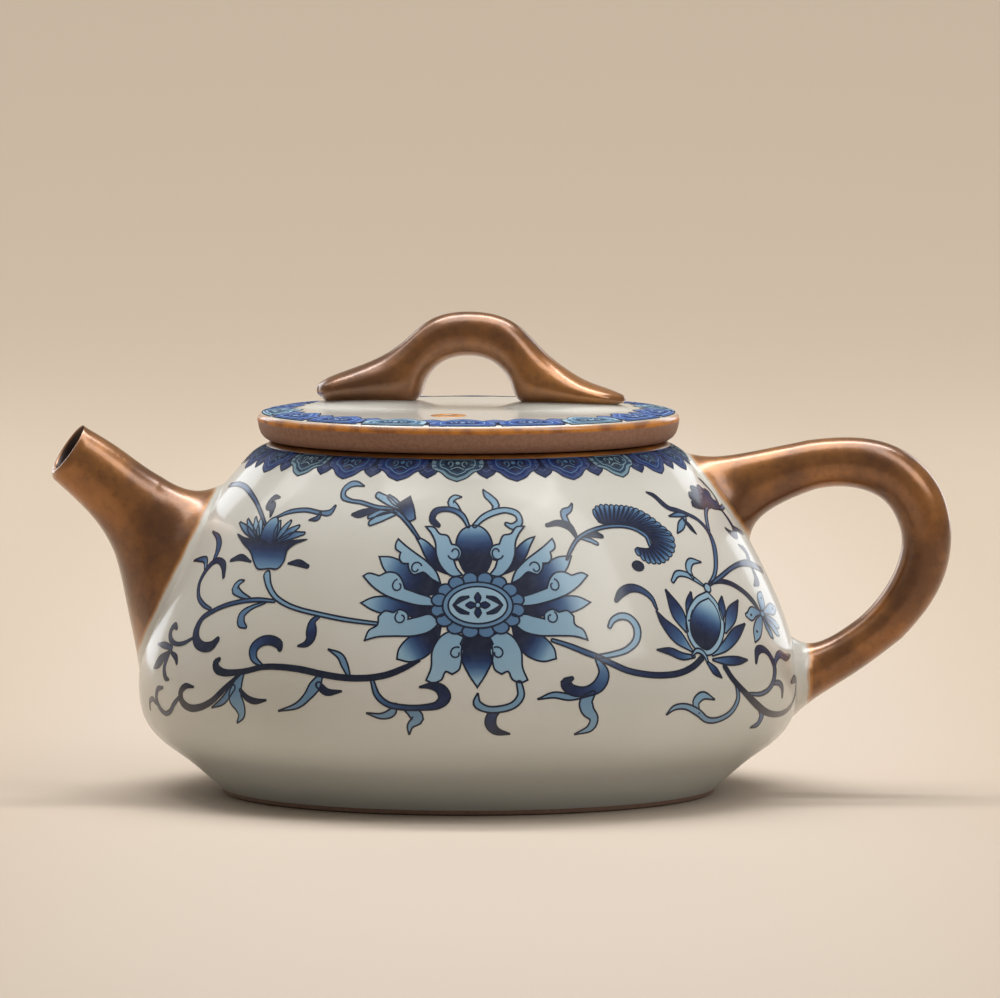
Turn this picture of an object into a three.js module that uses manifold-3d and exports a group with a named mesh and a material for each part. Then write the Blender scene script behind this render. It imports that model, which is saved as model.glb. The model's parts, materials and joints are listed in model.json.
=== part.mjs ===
// A glazed porcelain teapot of the low, wide "stone ladle" form, as the pieces a potter makes and lutes together:
// a cast body with a floor, a foot ring, a mouth collar, a trumpet spout with a pierced strainer dome behind it,
// a loop handle, and a lid of plate, locating flange and bridge knob.
// Millimetres, +Z up. Every piece is built round the body's own axis; the last lines move the whole pot so that the
// middle of its bounding box, on the table, is the origin. The spout points to -X and the handle to +X.
import * as THREE from "three";
import { mergeVertices } from "three/addons/utils/BufferGeometryUtils.js";
import Module from "manifold-3d";

const wasm = await Module();
wasm.setup();

// Driving dimensions
const TURN_STEPS = 60; // facets round every turned piece
const WALL = 2.8; // body wall and floor
const LUTE_GAP = 0.3; // joint line between a luted piece and what it sits on
const FOOT_HEIGHT = 1.2;
const FOOT_OUTER = 41;
const FOOT_INNER = 36;
const MOUTH_RADIUS = 30; // clear opening that the lid's flange drops into
const SHOULDER_TOP = 57.8; // where the collar stands
const COLLAR_FOOT = 33.7;
const COLLAR_LIP = 32.8;
const COLLAR_HEIGHT = 1.1;
const LID_SEAT = 59.1; // underside of the lid, a little above the collar
const LID_RADIUS = 35.1;
const LID_THICKNESS = 4; // at the rim
const LID_CROWN = 65.8; // top of the lid's shallow dome
const FLANGE_OUTER = 29.4;
const FLANGE_WALL = 2.6;
const FLANGE_DEPTH = 8;
const VENT_RADIUS = 1.3;
const VENT_PLACE = new THREE.Vector2(0, -20.7);
const LID_TURN = -9; // degrees that the lid rests turned in its seat
const PORT_RADIUS = 8; // hole through the body wall behind the spout
const PORT_HEIGHT = 37;
const STRAINER_RADIUS = 10.5;
const STRAINER_WALL = 1.6;
const STRAINER_HOLE = 1.15;

// The body's outer side, from the foot up to the shoulder: radius, height.
const BODY_SIDE = [
  [41.6, FOOT_HEIGHT],
  [43.6, 2.9],
  [46.6, 5.6],
  [49.6, 7.9],
  [52.6, 10.4],
  [54.4, 13],
  [54.95, 16.4],
  [54.7, 20.4],
  [53.7, 25],
  [51.8, 31.2],
  [49, 37.8],
  [45.7, 44.1],
  [41.8, 49.5],
  [39.5, 52.8],
  [37.2, 55.3],
  [35.5, 57],
];

const glaze = new THREE.MeshStandardMaterial({ color: 0xd9d3bf, roughness: 0.22, metalness: 0 });
const brown = new THREE.MeshStandardMaterial({ color: 0x7a4a24, roughness: 0.32, metalness: 0.15 });
const biscuit = new THREE.MeshStandardMaterial({ color: 0x97776a, roughness: 0.7, metalness: 0 });

// A closed mesh as a solid that can be joined and cut.
function solid(geometry) {
  const bare = geometry.clone();
  bare.deleteAttribute("normal");
  bare.deleteAttribute("uv");
  const merged = mergeVertices(bare, 1e-4);
  return new wasm.Manifold(
    new wasm.Mesh({
      numProp: 3,
      vertProperties: new Float32Array(merged.attributes.position.array),
      triVerts: new Uint32Array(merged.index.array),
    }),
  );
}

// A solid as a mesh geometry again.
function geometryOf(made) {
  const { vertProperties, triVerts } = made.getMesh();
  const geometry = new THREE.BufferGeometry();
  geometry.setAttribute("position", new THREE.BufferAttribute(new Float32Array(vertProperties), 3));
  geometry.setIndex(new THREE.BufferAttribute(new Uint32Array(triVerts), 1));
  geometry.computeVertexNormals();
  return geometry;
}

// A piece turned about the pot's axis from a closed outline of [radius, height], given anticlockwise.
function turned(outline, steps = TURN_STEPS) {
  const points = [...outline, outline[0]].map(([r, z]) => new THREE.Vector2(r, z));
  return new THREE.LatheGeometry(points, steps).rotateX(Math.PI / 2);
}

// A smooth line through a few hand-placed points, as [a, b] pairs.
function smooth(points, steps) {
  const line = new THREE.SplineCurve(points.map(([a, b]) => new THREE.Vector2(a, b)));
  return line.getPoints(steps).map((p) => [p.x, p.y]);
}

// The same line moved sideways by a distance, to its left as it runs.
function moved(line, distance) {
  return line.map(([r, z], i) => {
    const [r0, z0] = line[Math.max(i - 1, 0)];
    const [r1, z1] = line[Math.min(i + 1, line.length - 1)];
    const length = Math.hypot(r1 - r0, z1 - z0);
    return [r - (distance * (z1 - z0)) / length, z + (distance * (r1 - r0)) / length];
  });
}

// A solid swept through stations, each an oval held between two points of the XZ plane and half as wide as given:
// [x, z of one edge, x, z of the other edge, half width along Y].
function swept(stations, steps, sides) {
  const curve = (pick) => new THREE.CatmullRomCurve3(stations.map(pick), false, "centripetal");
  const near = curve(([x, z]) => new THREE.Vector3(x, 0, z));
  const far = curve(([, , x, z]) => new THREE.Vector3(x, 0, z));
  const width = curve((s, i) => new THREE.Vector3(i, s[4], 0));
  const positions = [];
  for (let i = 0; i <= steps; i++) {
    const [a, b] = [near.getPoint(i / steps), far.getPoint(i / steps)];
    const middle = a.clone().add(b).multiplyScalar(0.5);
    const reach = a.clone().sub(b).multiplyScalar(0.5);
    for (let j = 0; j < sides; j++) {
      const turn = (2 * Math.PI * j) / sides;
      const point = middle.clone().addScaledVector(reach, Math.cos(turn));
      positions.push(point.x, width.getPoint(i / steps).y * Math.sin(turn), point.z);
    }
  }
  const index = [];
  for (let i = 0; i < steps; i++) {
    for (let j = 0; j < sides; j++) {
      const [p, q] = [i * sides + j, i * sides + ((j + 1) % sides)];
      index.push(p, q, p + sides, q, q + sides, p + sides);
    }
  }
  for (let j = 1; j < sides - 1; j++) {
    index.push(0, j + 1, j);
    index.push(steps * sides, steps * sides + j, steps * sides + j + 1);
  }
  const geometry = new THREE.BufferGeometry();
  geometry.setAttribute("position", new THREE.Float32BufferAttribute(positions, 3));
  geometry.setIndex(index);
  const made = solid(geometry);
  if (made.volume() > 0) return made;
  geometry.setIndex(index.reverse());
  return solid(geometry);
}

// A round bar along X, for a hole through a wall.
function barAlongX(radius, from, to, y, z) {
  const bar = new THREE.CylinderGeometry(radius, radius, to - from, 24);
  return solid(bar.rotateZ(Math.PI / 2).translate((from + to) / 2, y, z));
}

function piece(name, made, material) {
  const mesh = new THREE.Mesh(geometryOf(made), material);
  mesh.name = name;
  return mesh;
}

// Body: outer side, shoulder, mouth, inner side and floor in one turned outline.
const bodySide = smooth(BODY_SIDE, 20);
const innerSide = moved(bodySide, WALL).filter(([r, z]) => z > FOOT_HEIGHT + WALL + 1.6 && r > MOUTH_RADIUS);
const bodyOutline = [
  [0, FOOT_HEIGHT],
  ...bodySide,
  [COLLAR_FOOT, SHOULDER_TOP],
  [MOUTH_RADIUS, SHOULDER_TOP],
  [MOUTH_RADIUS, SHOULDER_TOP - WALL],
  ...innerSide.reverse(),
  [40, FOOT_HEIGHT + WALL],
  [0, FOOT_HEIGHT + WALL],
];

// The pot's outside, swollen by the joint line, that trims what is luted onto it.
const trimOutline = [
  [0, -5],
  [41.6 + LUTE_GAP, -5],
  ...moved(bodySide, -LUTE_GAP),
  [COLLAR_FOOT + LUTE_GAP, SHOULDER_TOP + LUTE_GAP],
  [0, SHOULDER_TOP + LUTE_GAP],
];
const bodyTrim = solid(turned(trimOutline));

function body() {
  const port = barAlongX(PORT_RADIUS, -60, -30, 0, PORT_HEIGHT);
  return solid(turned(bodyOutline)).subtract(port);
}

function footRing() {
  const edge = 0.6; // the ring's lower corners are softened
  return solid(
    turned([
      [FOOT_INNER + edge, 0],
      [FOOT_OUTER - edge, 0],
      [FOOT_OUTER, edge],
      [FOOT_OUTER, FOOT_HEIGHT],
      [FOOT_INNER, FOOT_HEIGHT],
      [FOOT_INNER, edge],
    ]),
  );
}

function mouthCollar() {
  const top = SHOULDER_TOP + COLLAR_HEIGHT;
  return solid(
    turned([
      [MOUTH_RADIUS, SHOULDER_TOP],
      [COLLAR_FOOT, SHOULDER_TOP],
      [COLLAR_LIP, top],
      [MOUTH_RADIUS, top],
    ]),
  );
}

// Spout: upper edge, lower edge and half width from the tip to inside the body wall, and the same for its bore.
const SPOUT = [
  [-63.3, 60.5, -69.2, 52.2, 5.1],
  [-58.6, 57.6, -65.6, 48.9, 5.4],
  [-53.6, 54, -61.4, 44.2, 5.9],
  [-49, 51.7, -58.3, 38.4, 7],
  [-45, 50.8, -57, 30.6, 9.2],
  [-41, 50.4, -54.6, 22.6, 11],
  [-38, 50.2, -50, 20.6, 11.6],
];
const BORE = [
  [-64.9, 61.9, -69.7, 55.1, 3.9],
  [-60, 57, -64.8, 50.9, 4],
  [-55, 53.1, -60, 46.3, 4.3],
  [-50, 50.2, -56.6, 40, 5],
  [-45, 48.8, -55, 32.4, 6.9],
  [-41, 48.2, -52.4, 25.2, 8.6],
  [-34, 48, -44, 23, 9],
];

function spout() {
  return swept(SPOUT, 22, 32).subtract(swept(BORE, 22, 24)).subtract(bodyTrim);
}

// Strainer: a thin pierced dome on the inside of the wall, bulging into the pot over the port.
function strainer() {
  const inner = STRAINER_RADIUS - STRAINER_WALL;
  const centreX = -46.4;
  const dome = (radius) => solid(new THREE.SphereGeometry(radius, 28, 18).translate(centreX, 0, PORT_HEIGHT));
  let made = dome(STRAINER_RADIUS).subtract(dome(inner));
  for (const [ring, count] of [[0, 1], [26, 6], [50, 12]]) {
    for (let i = 0; i < count; i++) {
      const hole = new THREE.CylinderGeometry(STRAINER_HOLE, STRAINER_HOLE, 8, 10);
      hole.translate(0, inner + 1, 0).rotateZ(-Math.PI / 2);
      hole.rotateY(THREE.MathUtils.degToRad(ring));
      hole.rotateX((2 * Math.PI * (i + 0.5)) / count);
      made = made.subtract(solid(hole.translate(centreX, 0, PORT_HEIGHT)));
    }
  }
  const cavity = moved(bodySide, WALL + LUTE_GAP).filter(([r]) => r > MOUTH_RADIUS);
  const inside = solid(turned([[0, 10], ...cavity.filter(([, z]) => z > 10 && z < 52), [0, 52]]));
  return made.intersect(inside);
}

// Handle: outer edge, inner edge and half width, from the upper root round to the lower root.
const HANDLE = [
  [35.5, 55.2, 42.5, 42.4, 5.6],
  [39.4, 55.3, 46.3, 44.4, 5.2],
  [46.8, 56.8, 50.2, 47.1, 4.6],
  [55, 58.3, 56, 49.8, 4.3],
  [62.8, 59, 62.4, 50.7, 4.2],
  [71.6, 57.4, 68.8, 48.7, 4.2],
  [78.2, 51.4, 71.4, 44.8, 4.2],
  [80.5, 43, 71.8, 41, 4.2],
  [79, 35, 70.3, 35.6, 4.2],
  [74.7, 28.2, 66.2, 30, 4.2],
  [67.6, 21.4, 60.8, 25.7, 4.2],
  [59.8, 16.6, 56.7, 24.2, 4.3],
  [53, 14.2, 52.4, 23.6, 5],
  [49, 13.4, 49, 23.4, 5.2],
];

function handle() {
  return swept(HANDLE, 52, 20).subtract(bodyTrim);
}

// Lid plate: flat seat, rounded rim, shallow dome, with the vent hole in front of the knob.
const LID_TOP = smooth(
  [
    [LID_RADIUS, LID_SEAT + LID_THICKNESS],
    [34.7, 63.95],
    [33.4, 64.4],
    [25, 65.05],
    [13, 65.6],
    [0, LID_CROWN],
  ],
  12,
);
const LID_SIDE = smooth(
  [
    [32.4, LID_SEAT],
    [34.1, LID_SEAT + 0.8],
    [LID_RADIUS - 0.2, LID_SEAT + 2.2],
    [LID_RADIUS, LID_SEAT + LID_THICKNESS],
  ],
  6,
);

function lidPlate() {
  const plate = solid(turned([[0, LID_SEAT], ...LID_SIDE, ...LID_TOP.slice(1)]));
  const vent = new THREE.CylinderGeometry(VENT_RADIUS, VENT_RADIUS, 20, 20).rotateX(Math.PI / 2);
  return plate.subtract(solid(vent.translate(VENT_PLACE.x, VENT_PLACE.y, LID_SEAT)));
}

function lidFlange() {
  const foot = LID_SEAT - FLANGE_DEPTH;
  const inner = FLANGE_OUTER - FLANGE_WALL;
  return solid(
    turned([
      [inner, foot],
      [FLANGE_OUTER - 0.8, foot],
      [FLANGE_OUTER, foot + 0.8],
      [FLANGE_OUTER, LID_SEAT],
      [inner, LID_SEAT],
    ]),
  );
}

// Knob: a bridge whose feet spread along the lid. Upper edge, lower edge and half width from left foot to right foot.
const KNOB = [
  [-25.6, 67.6, -25.5, 66.2, 1.3],
  [-24.4, 69, -24.2, 65, 3.6],
  [-20.6, 70.4, -19.4, 64.6, 5],
  [-16.2, 71.8, -12.6, 64.6, 5.2],
  [-13, 73.4, -8.2, 66, 4.6],
  [-10.4, 75.3, -7.1, 68.8, 4],
  [-6.6, 78.5, -4.8, 72, 3.6],
  [0.2, 80.2, 0, 73.3, 3.5],
  [7.2, 78.6, 4.8, 72, 3.6],
  [10.9, 75.4, 7.1, 68.8, 4],
  [13.2, 73.2, 8.2, 66, 4.6],
  [16, 71.2, 12.6, 64.6, 5.2],
  [20.2, 69, 19.4, 64.6, 5],
  [24.2, 67.4, 24, 64.8, 3.4],
  [25.9, 66.5, 25.8, 65.8, 1.1],
];

function knob() {
  const lidTrim = [[0, LID_SEAT - 5], [LID_RADIUS, LID_SEAT - 5], ...moved(LID_TOP, -LUTE_GAP / 2)];
  lidTrim[lidTrim.length - 1][0] = 0;
  return swept(KNOB, 48, 20).subtract(solid(turned(lidTrim)));
}

const pot = new THREE.Group();
pot.add(piece("body", body(), glaze));
pot.add(piece("foot_ring", footRing(), biscuit));
pot.add(piece("mouth_collar", mouthCollar(), brown));
pot.add(piece("spout", spout(), brown));
pot.add(piece("strainer", strainer(), glaze));
pot.add(piece("handle", handle(), brown));
pot.add(piece("lid_plate", lidPlate().rotate([0, 0, LID_TURN]), glaze));
pot.add(piece("lid_flange", lidFlange(), biscuit));
pot.add(piece("lid_knob", knob().rotate([0, 0, LID_TURN]), brown));

const reach = new THREE.Box3().setFromObject(pot);
pot.position.x = -(reach.min.x + reach.max.x) / 2;

const teapot = new THREE.Group();
teapot.add(pot);
export default teapot;
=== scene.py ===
# %% [markdown]
# # A painted stoneware teapot
#
# The pot stands on a pale floor: a cream glazed body painted in underglaze blue, and a brown lustre
# spout, handle and lid knob. Lengths in the code are millimetres, measured from the pot's own axis with
# the spout to -X, the handle to +X and the painted front to -Y. They become metres when a mesh is made.
#
# The frame holds the solids of the pot as its maker's drawing gives them. The pot's axis is read from the
# middle of its body, so that everything modelled here stands in the same place.

import json
import math

import bpy
import numpy as np
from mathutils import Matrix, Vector
from mathutils.geometry import delaunay_2d_cdt

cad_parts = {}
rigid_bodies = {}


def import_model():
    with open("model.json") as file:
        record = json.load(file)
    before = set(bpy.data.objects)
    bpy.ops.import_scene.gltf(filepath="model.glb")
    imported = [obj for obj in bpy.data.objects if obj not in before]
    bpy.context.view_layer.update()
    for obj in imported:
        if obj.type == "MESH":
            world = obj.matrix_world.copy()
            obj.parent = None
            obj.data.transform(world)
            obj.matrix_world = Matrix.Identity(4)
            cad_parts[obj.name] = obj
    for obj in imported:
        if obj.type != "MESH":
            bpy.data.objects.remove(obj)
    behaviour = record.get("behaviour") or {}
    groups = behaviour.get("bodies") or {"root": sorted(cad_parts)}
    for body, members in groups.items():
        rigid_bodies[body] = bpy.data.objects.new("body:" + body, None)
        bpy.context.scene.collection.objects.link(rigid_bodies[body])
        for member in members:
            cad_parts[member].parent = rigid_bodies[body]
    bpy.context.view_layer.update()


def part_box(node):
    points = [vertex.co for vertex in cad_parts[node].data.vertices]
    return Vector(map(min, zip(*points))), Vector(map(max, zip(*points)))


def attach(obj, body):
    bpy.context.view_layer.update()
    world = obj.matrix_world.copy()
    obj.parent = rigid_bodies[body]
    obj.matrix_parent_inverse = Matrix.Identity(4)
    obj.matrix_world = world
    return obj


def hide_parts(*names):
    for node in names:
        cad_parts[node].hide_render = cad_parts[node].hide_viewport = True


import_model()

low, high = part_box("body")
AXIS_X = (low[0] + high[0]) / 2 * 1000
MM = 0.001
print("pot axis at x =", round(AXIS_X, 3), "mm")

# %% [markdown]
# ## Curves
# A potter's lines are long and easy. They could be Blender's own curve objects, but the same lines are
# needed as numbers, to lay a stroke or a joint exactly on the pot. So a line is drawn here through a few
# given points. Every point may carry more numbers than its place, such as a stroke's width.

# %% Smooth lines


def curve(points, step=0.5, closed=False):
    """A smooth line through points, with about step millimetres between its samples."""
    p = np.array(points, float)
    count = len(p)
    if closed:
        p = np.vstack([p[-1], p, p[0], p[1]])
    else:
        p = np.vstack([2 * p[0] - p[1], p, 2 * p[-1] - p[-2]])
        count -= 1
    found = []
    for i in range(1, count + 1):
        a, b, c, d = p[i - 1 : i + 3]
        near, mid, far = (
            math.sqrt(max(np.linalg.norm((v - u)[:2]), 1e-6)) for u, v in ((a, b), (b, c), (c, d))
        )
        start = (c - b) + mid * ((b - a) / near - (c - a) / (near + mid))
        end = (c - b) + mid * ((d - c) / far - (d - b) / (mid + far))
        n = max(2, math.ceil(np.linalg.norm((c - b)[:2]) / step))
        for t in np.arange(n) / n:
            found.append(
                (2 * t**3 - 3 * t**2 + 1) * b
                + (t**3 - 2 * t**2 + t) * start
                + (3 * t**2 - 2 * t**3) * c
                + (t**3 - t**2) * end
            )
    if not closed:
        found.append(p[-2])
    return np.array(found)


def outline(points, step=0.5):
    """A closed outline. A point given as (across, up, 1) is a corner; between corners the line is smooth."""
    corners = [i for i, q in enumerate(points) if len(q) > 2]
    if not corners:
        return curve([q[:2] for q in points], step, closed=True)
    runs = []
    for here, there in zip(corners, corners[1:] + [corners[0] + len(points)]):
        part = [points[k % len(points)][:2] for k in range(here, there + 1)]
        runs.append(curve(part, step)[:-1])
    return np.vstack(runs)


def natural(points, samples):
    """A natural cubic spline through points, spaced by their distances: its bend never jumps."""
    p = np.array(points, float)
    t = np.concatenate([[0], np.cumsum(np.linalg.norm(np.diff(p, axis=0), axis=1))])
    h = np.diff(t)
    n = len(p)
    system, right = np.eye(n), np.zeros_like(p)
    for i in range(1, n - 1):
        system[i, i - 1 : i + 2] = h[i - 1], 2 * (h[i - 1] + h[i]), h[i]
        right[i] = 6 * ((p[i + 1] - p[i]) / h[i] - (p[i] - p[i - 1]) / h[i - 1])
    bend = np.linalg.solve(system, right)
    at = np.linspace(0, t[-1], samples)
    k = np.clip(np.searchsorted(t, at, "right") - 1, 0, n - 2)
    a, b = ((t[k + 1] - at) / h[k])[:, None], ((at - t[k]) / h[k])[:, None]
    gap = (h[k] ** 2)[:, None]
    return a * p[k] + b * p[k + 1] + ((a**3 - a) * bend[k] + (b**3 - b) * bend[k + 1]) * gap / 6


def unit(v):
    """The same directions, each one long."""
    return v / np.maximum(np.linalg.norm(v, axis=-1, keepdims=True), 1e-9)


# %% [markdown]
# ## Helpers for meshes
# Most pieces of a pot are turned, so one helper spins a section round the axis with the spin operator, as
# by hand in edit mode. Another cuts with a Boolean modifier, as a knife or a drill would. Swept pieces are
# rings of points joined by quads. Every piece is finished in the same way: doubles are merged, faces are
# turned outwards and the surface is shaded smooth except at real edges.

# %% Meshes


def add_mesh(name, points, faces, edges=()):
    """A mesh object from points in millimetres from the pot's axis."""
    made = bpy.data.meshes.new(name)
    place = (np.array(points, float) + (AXIS_X, 0, 0)) * MM
    made.from_pydata(place.tolist(), edges, [list(map(int, f)) for f in faces])
    made.update()
    thing = bpy.data.objects.new(name, made)
    bpy.context.scene.collection.objects.link(thing)
    return thing


def pick(thing):
    """Select one piece alone, so that an operator acts on nothing else."""
    bpy.ops.object.select_all(action="DESELECT")
    thing.select_set(True)
    bpy.context.view_layer.objects.active = thing


def finish_surface(thing, angle=40):
    """Merge the seams, turn every face outwards and shade smooth except at real edges."""
    pick(thing)
    bpy.ops.object.mode_set(mode="EDIT")
    bpy.ops.mesh.select_all(action="SELECT")
    bpy.ops.mesh.remove_doubles(threshold=1e-7)
    bpy.ops.mesh.normals_make_consistent(inside=False)
    bpy.ops.object.mode_set(mode="OBJECT")
    bpy.ops.object.shade_smooth_by_angle(angle=math.radians(angle))
    return thing


def turned(name, section, steps=192):
    """Spin a closed section of [radius, height] round the pot's axis."""
    edges = [(i, (i + 1) % len(section)) for i in range(len(section))]
    thing = add_mesh(name, [(r, 0, z) for r, z in section], [], edges)
    pick(thing)
    bpy.ops.object.mode_set(mode="EDIT")
    bpy.ops.mesh.select_all(action="SELECT")
    bpy.ops.mesh.spin(steps=steps, angle=2 * math.pi, center=(AXIS_X * MM, 0, 0), axis=(0, 0, 1))
    bpy.ops.mesh.select_all(action="SELECT")
    bpy.ops.mesh.remove_doubles(threshold=1e-6)
    bpy.ops.object.mode_set(mode="OBJECT")
    return finish_surface(thing)


def cut(thing, tool, operation="DIFFERENCE"):
    """Cut a piece with another solid, and throw the tool away."""
    change = thing.modifiers.new("cut", "BOOLEAN")
    change.object, change.operation = tool, operation
    pick(thing)
    bpy.ops.object.modifier_apply(modifier="cut")
    bpy.data.objects.remove(tool)


def ring_grid(rows, cols, close_rows=False):
    """Quads between rings of points, each ring closed on itself."""
    faces = []
    for i in range(rows if close_rows else rows - 1):
        for j in range(cols):
            a, b = i * cols + j, i * cols + (j + 1) % cols
            c, d = ((i + 1) % rows) * cols + (j + 1) % cols, ((i + 1) % rows) * cols + j
            faces.append((a, b, c, d))
    return faces


def run_along(rows):
    """How far every point lies from the first row, measured along its own line through the rows."""
    steps = np.linalg.norm(np.diff(rows, axis=0), axis=2)
    return np.vstack([np.zeros(steps.shape[1]), np.cumsum(steps, axis=0)])


def mark_edge(thing, past):
    """Note how many millimetres every point lies past the place where the brown glaze ends."""
    mark = thing.data.attributes.new("past_edge", "FLOAT", "POINT")
    mark.data.foreach_set("value", np.ravel(past).astype(np.float32))


# %% [markdown]
# ## The body
# The body is a low, wide bowl whose side runs in one easy line from the foot to the shoulder. It could be a
# cylinder shaped row by row, but a single natural spline keeps the shine free of bands. The same line gives
# the wall, the place of every painted stroke and the ground that the spout and handle grow out of.

# %% Body side
SIDE = natural(
    [
        (41.3, 0.9), (43.9, 3.2), (47.4, 6.1), (51.0, 8.7), (53.5, 11.5), (54.75, 14.9), (55.0, 18.8),
        (54.2, 24.4), (52.1, 30.9), (49.0, 37.8), (45.3, 44.6), (41.6, 50.1), (38.0, 54.4), (35.2, 57.1),
        (33.7, 57.9),
    ],
    samples=1600,
)
SIDE_LEAN = unit(np.gradient(SIDE, axis=0))
SIDE_OUT = np.stack([SIDE_LEAN[:, 1], -SIDE_LEAN[:, 0]], -1)
SIDE_RUN = np.concatenate([[0], np.cumsum(np.linalg.norm(np.diff(SIDE, axis=0), axis=1))])
MEASURE = 50.0  # painted strokes are laid out on a sheet whose width is angle x 50 mm


def around(angle, radius, height, out):
    """Points and outward directions on a turned surface."""
    s, c = np.sin(angle), -np.cos(angle)
    point = np.stack([radius * s, radius * c, height], -1)
    return point, np.stack([out[..., 0] * s, out[..., 0] * c, out[..., 1]], -1)


def on_side(flat):
    """The painter's sheet wrapped round the body: across is angle x 50, up is height."""
    k = np.interp(flat[:, 1], SIDE[:, 1], np.arange(len(SIDE)))
    lo = np.clip(k.astype(int), 0, len(SIDE) - 2)
    part = (k - lo)[:, None]
    place = SIDE[lo] * (1 - part) + SIDE[lo + 1] * part
    out = unit(SIDE_OUT[lo] * (1 - part) + SIDE_OUT[lo + 1] * part)
    return around(flat[:, 0] / MEASURE, place[:, 0], place[:, 1], out)


def side_foot(points):
    """The nearest place on the body's side, its outward direction, and how far outside it each point is."""
    shape = points.shape[:-1]
    flat = points.reshape(-1, 3)
    r = np.hypot(flat[:, 0], flat[:, 1])
    best = np.empty(len(flat), int)
    for start in range(0, len(flat), 4000):
        part = slice(start, start + 4000)
        gap = (r[part, None] - SIDE[None, :, 0]) ** 2 + (flat[part, 2, None] - SIDE[None, :, 1]) ** 2
        best[part] = gap.argmin(1)
    angle = np.arctan2(flat[:, 0], -flat[:, 1])
    foot, out = around(angle, SIDE[best, 0], SIDE[best, 1], SIDE_OUT[best])
    away = ((flat - foot) * out).sum(1)
    return foot.reshape(*shape, 3), out.reshape(*shape, 3), away.reshape(shape)


# %% [markdown]
# ## Turning the body
# The section is a closed loop: the underside, the outside, the mouth, the inside and the floor. Spinning it
# round the axis gives the wall its real thickness, which shows at the mouth when the lid is lifted. The
# port that leads into the spout is cut afterwards with a cylinder, because it is not round the axis.

# %% Body
WALL = 2.8
FLOOR = 4.0  # height of the floor inside
inner = (SIDE - SIDE_OUT * WALL)[::12]
inner = inner[(inner[:, 1] > 7) & (inner[:, 0] > 31)]
floor_curve = curve([(0, FLOOR), (30, FLOOR), (38.5, 4.3), (42.6, 5.6), tuple(inner[0])], 1.5)
mouth = curve([tuple(inner[-1]), (30.6, 54.6), (30, 55.6), (30, 57.2)], 0.4)
section = [
    (0, 1.2),
    (40.2, 1.2),
    *SIDE[::12],
    (33.4, 57.95),
    (30.4, 57.95),
    *mouth[::-1],
    *inner[::-1],
    *floor_curve[::-1][1:],
]
body = turned("pot_body", section, steps=256)
PORT = (-46, 37)  # middle of the spout's root: x from the pot's axis, height
PORT_RADIUS = 8
port_place = Vector((AXIS_X + PORT[0], 0, PORT[1])) * MM
bpy.ops.mesh.primitive_cylinder_add(
    vertices=64, radius=PORT_RADIUS * MM, depth=24 * MM, location=port_place, rotation=(0, math.pi / 2, 0)
)
cut(body, bpy.context.object)
print("body:", len(body.data.polygons), "faces")

# %% [markdown]
# ## Foot ring and collar
# The pot stands on a low unglazed ring, and the lid rests over a short brown collar round the mouth. Both
# are small turned sections with rounded edges, since a sponge always softens the edges of wet clay.

# %% Foot ring and mouth collar
foot = turned(
    "foot_ring",
    [(36.6, 0.0), (40.5, 0.0), (41.0, 0.25), (41.2, 0.9), (40.9, 1.3), (36.2, 1.3), (36.2, 0.4)],
)
collar = turned(
    "mouth_collar",
    [(30.0, 57.5), (33.9, 57.5), (33.7, 57.95), (33.3, 58.3), (32.7, 58.55), (30.5, 58.55), (30.1, 58.3)],
)
print("foot ring", len(foot.data.polygons), "faces, collar", len(collar.data.polygons))

# %% [markdown]
# ## Spout and handle
# Both are pulled from clay and luted to the side. Their ovals change all the way along, so a curve with one
# round bevel would not do. Each is swept through oval stations, and where it nears the body its skin curves
# away to lie on the side, the way a potter pulls the clay of a luted joint down with a finger.

# %% Sweeping


def sweep_lines(stations, samples, sides):
    """Lines running the length of a sweep.

    A station is (x, z) of one edge, (x, z) of the other, and half the width in Y.
    """
    dense = natural(stations, samples)
    turn = 2 * np.pi * np.arange(sides) / sides
    middle = (dense[:, 0:2] + dense[:, 2:4]) / 2
    reach = (dense[:, 0:2] - dense[:, 2:4]) / 2
    xz = middle[:, None, :] + reach[:, None, :] * np.cos(turn)[None, :, None]
    y = dense[:, 4:5] * np.sin(turn)[None, :]
    return np.stack([xz[..., 0], y, xz[..., 1]], -1)


def crossing(away, height):
    """For every line, the sample position at which it first comes closer to the body than height."""
    at = np.empty(away.shape[1])
    for j in range(away.shape[1]):
        i = int(np.argmax(away[:, j] < height))
        above, below = away[i - 1, j], away[i, j]
        at[j] = i - 1 + (above - height) / (above - below) if i > 0 else 0
    return at


def sample(lines, at):
    """Points on the lines at fractional sample positions, one for every line."""
    lo = np.clip(at.astype(int), 0, len(lines) - 2)
    part = (at - lo)[:, None]
    j = np.arange(lines.shape[1])
    return lines[lo, j] * (1 - part) + lines[lo + 1, j] * part


def fillet(lines, rise, spread, rings):
    """Rings that carry the lines over into the body's side.

    They start at rise above it and end lying on it, spread away from the joint.
    """
    away = side_foot(lines)[2]
    meet = crossing(away, rise)
    top = sample(lines, meet)
    touch = sample(lines, crossing(away, 0.0))
    foot, out, _ = side_foot(touch)
    middle = foot.mean(0)
    across = foot - middle
    across = unit(across - out * (across * out).sum(-1, keepdims=True))
    start = ((top - touch) * across).sum(-1)
    made = []
    for u in np.linspace(0, 1, rings):
        a = (1 - u) ** 2 * start + u * u * spread
        b = (1 - u) ** 2 * rise
        ground, up, _ = side_foot(foot + across * a[:, None])
        made.append(ground + up * (b - 0.04 * u))
    return meet, made


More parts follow.
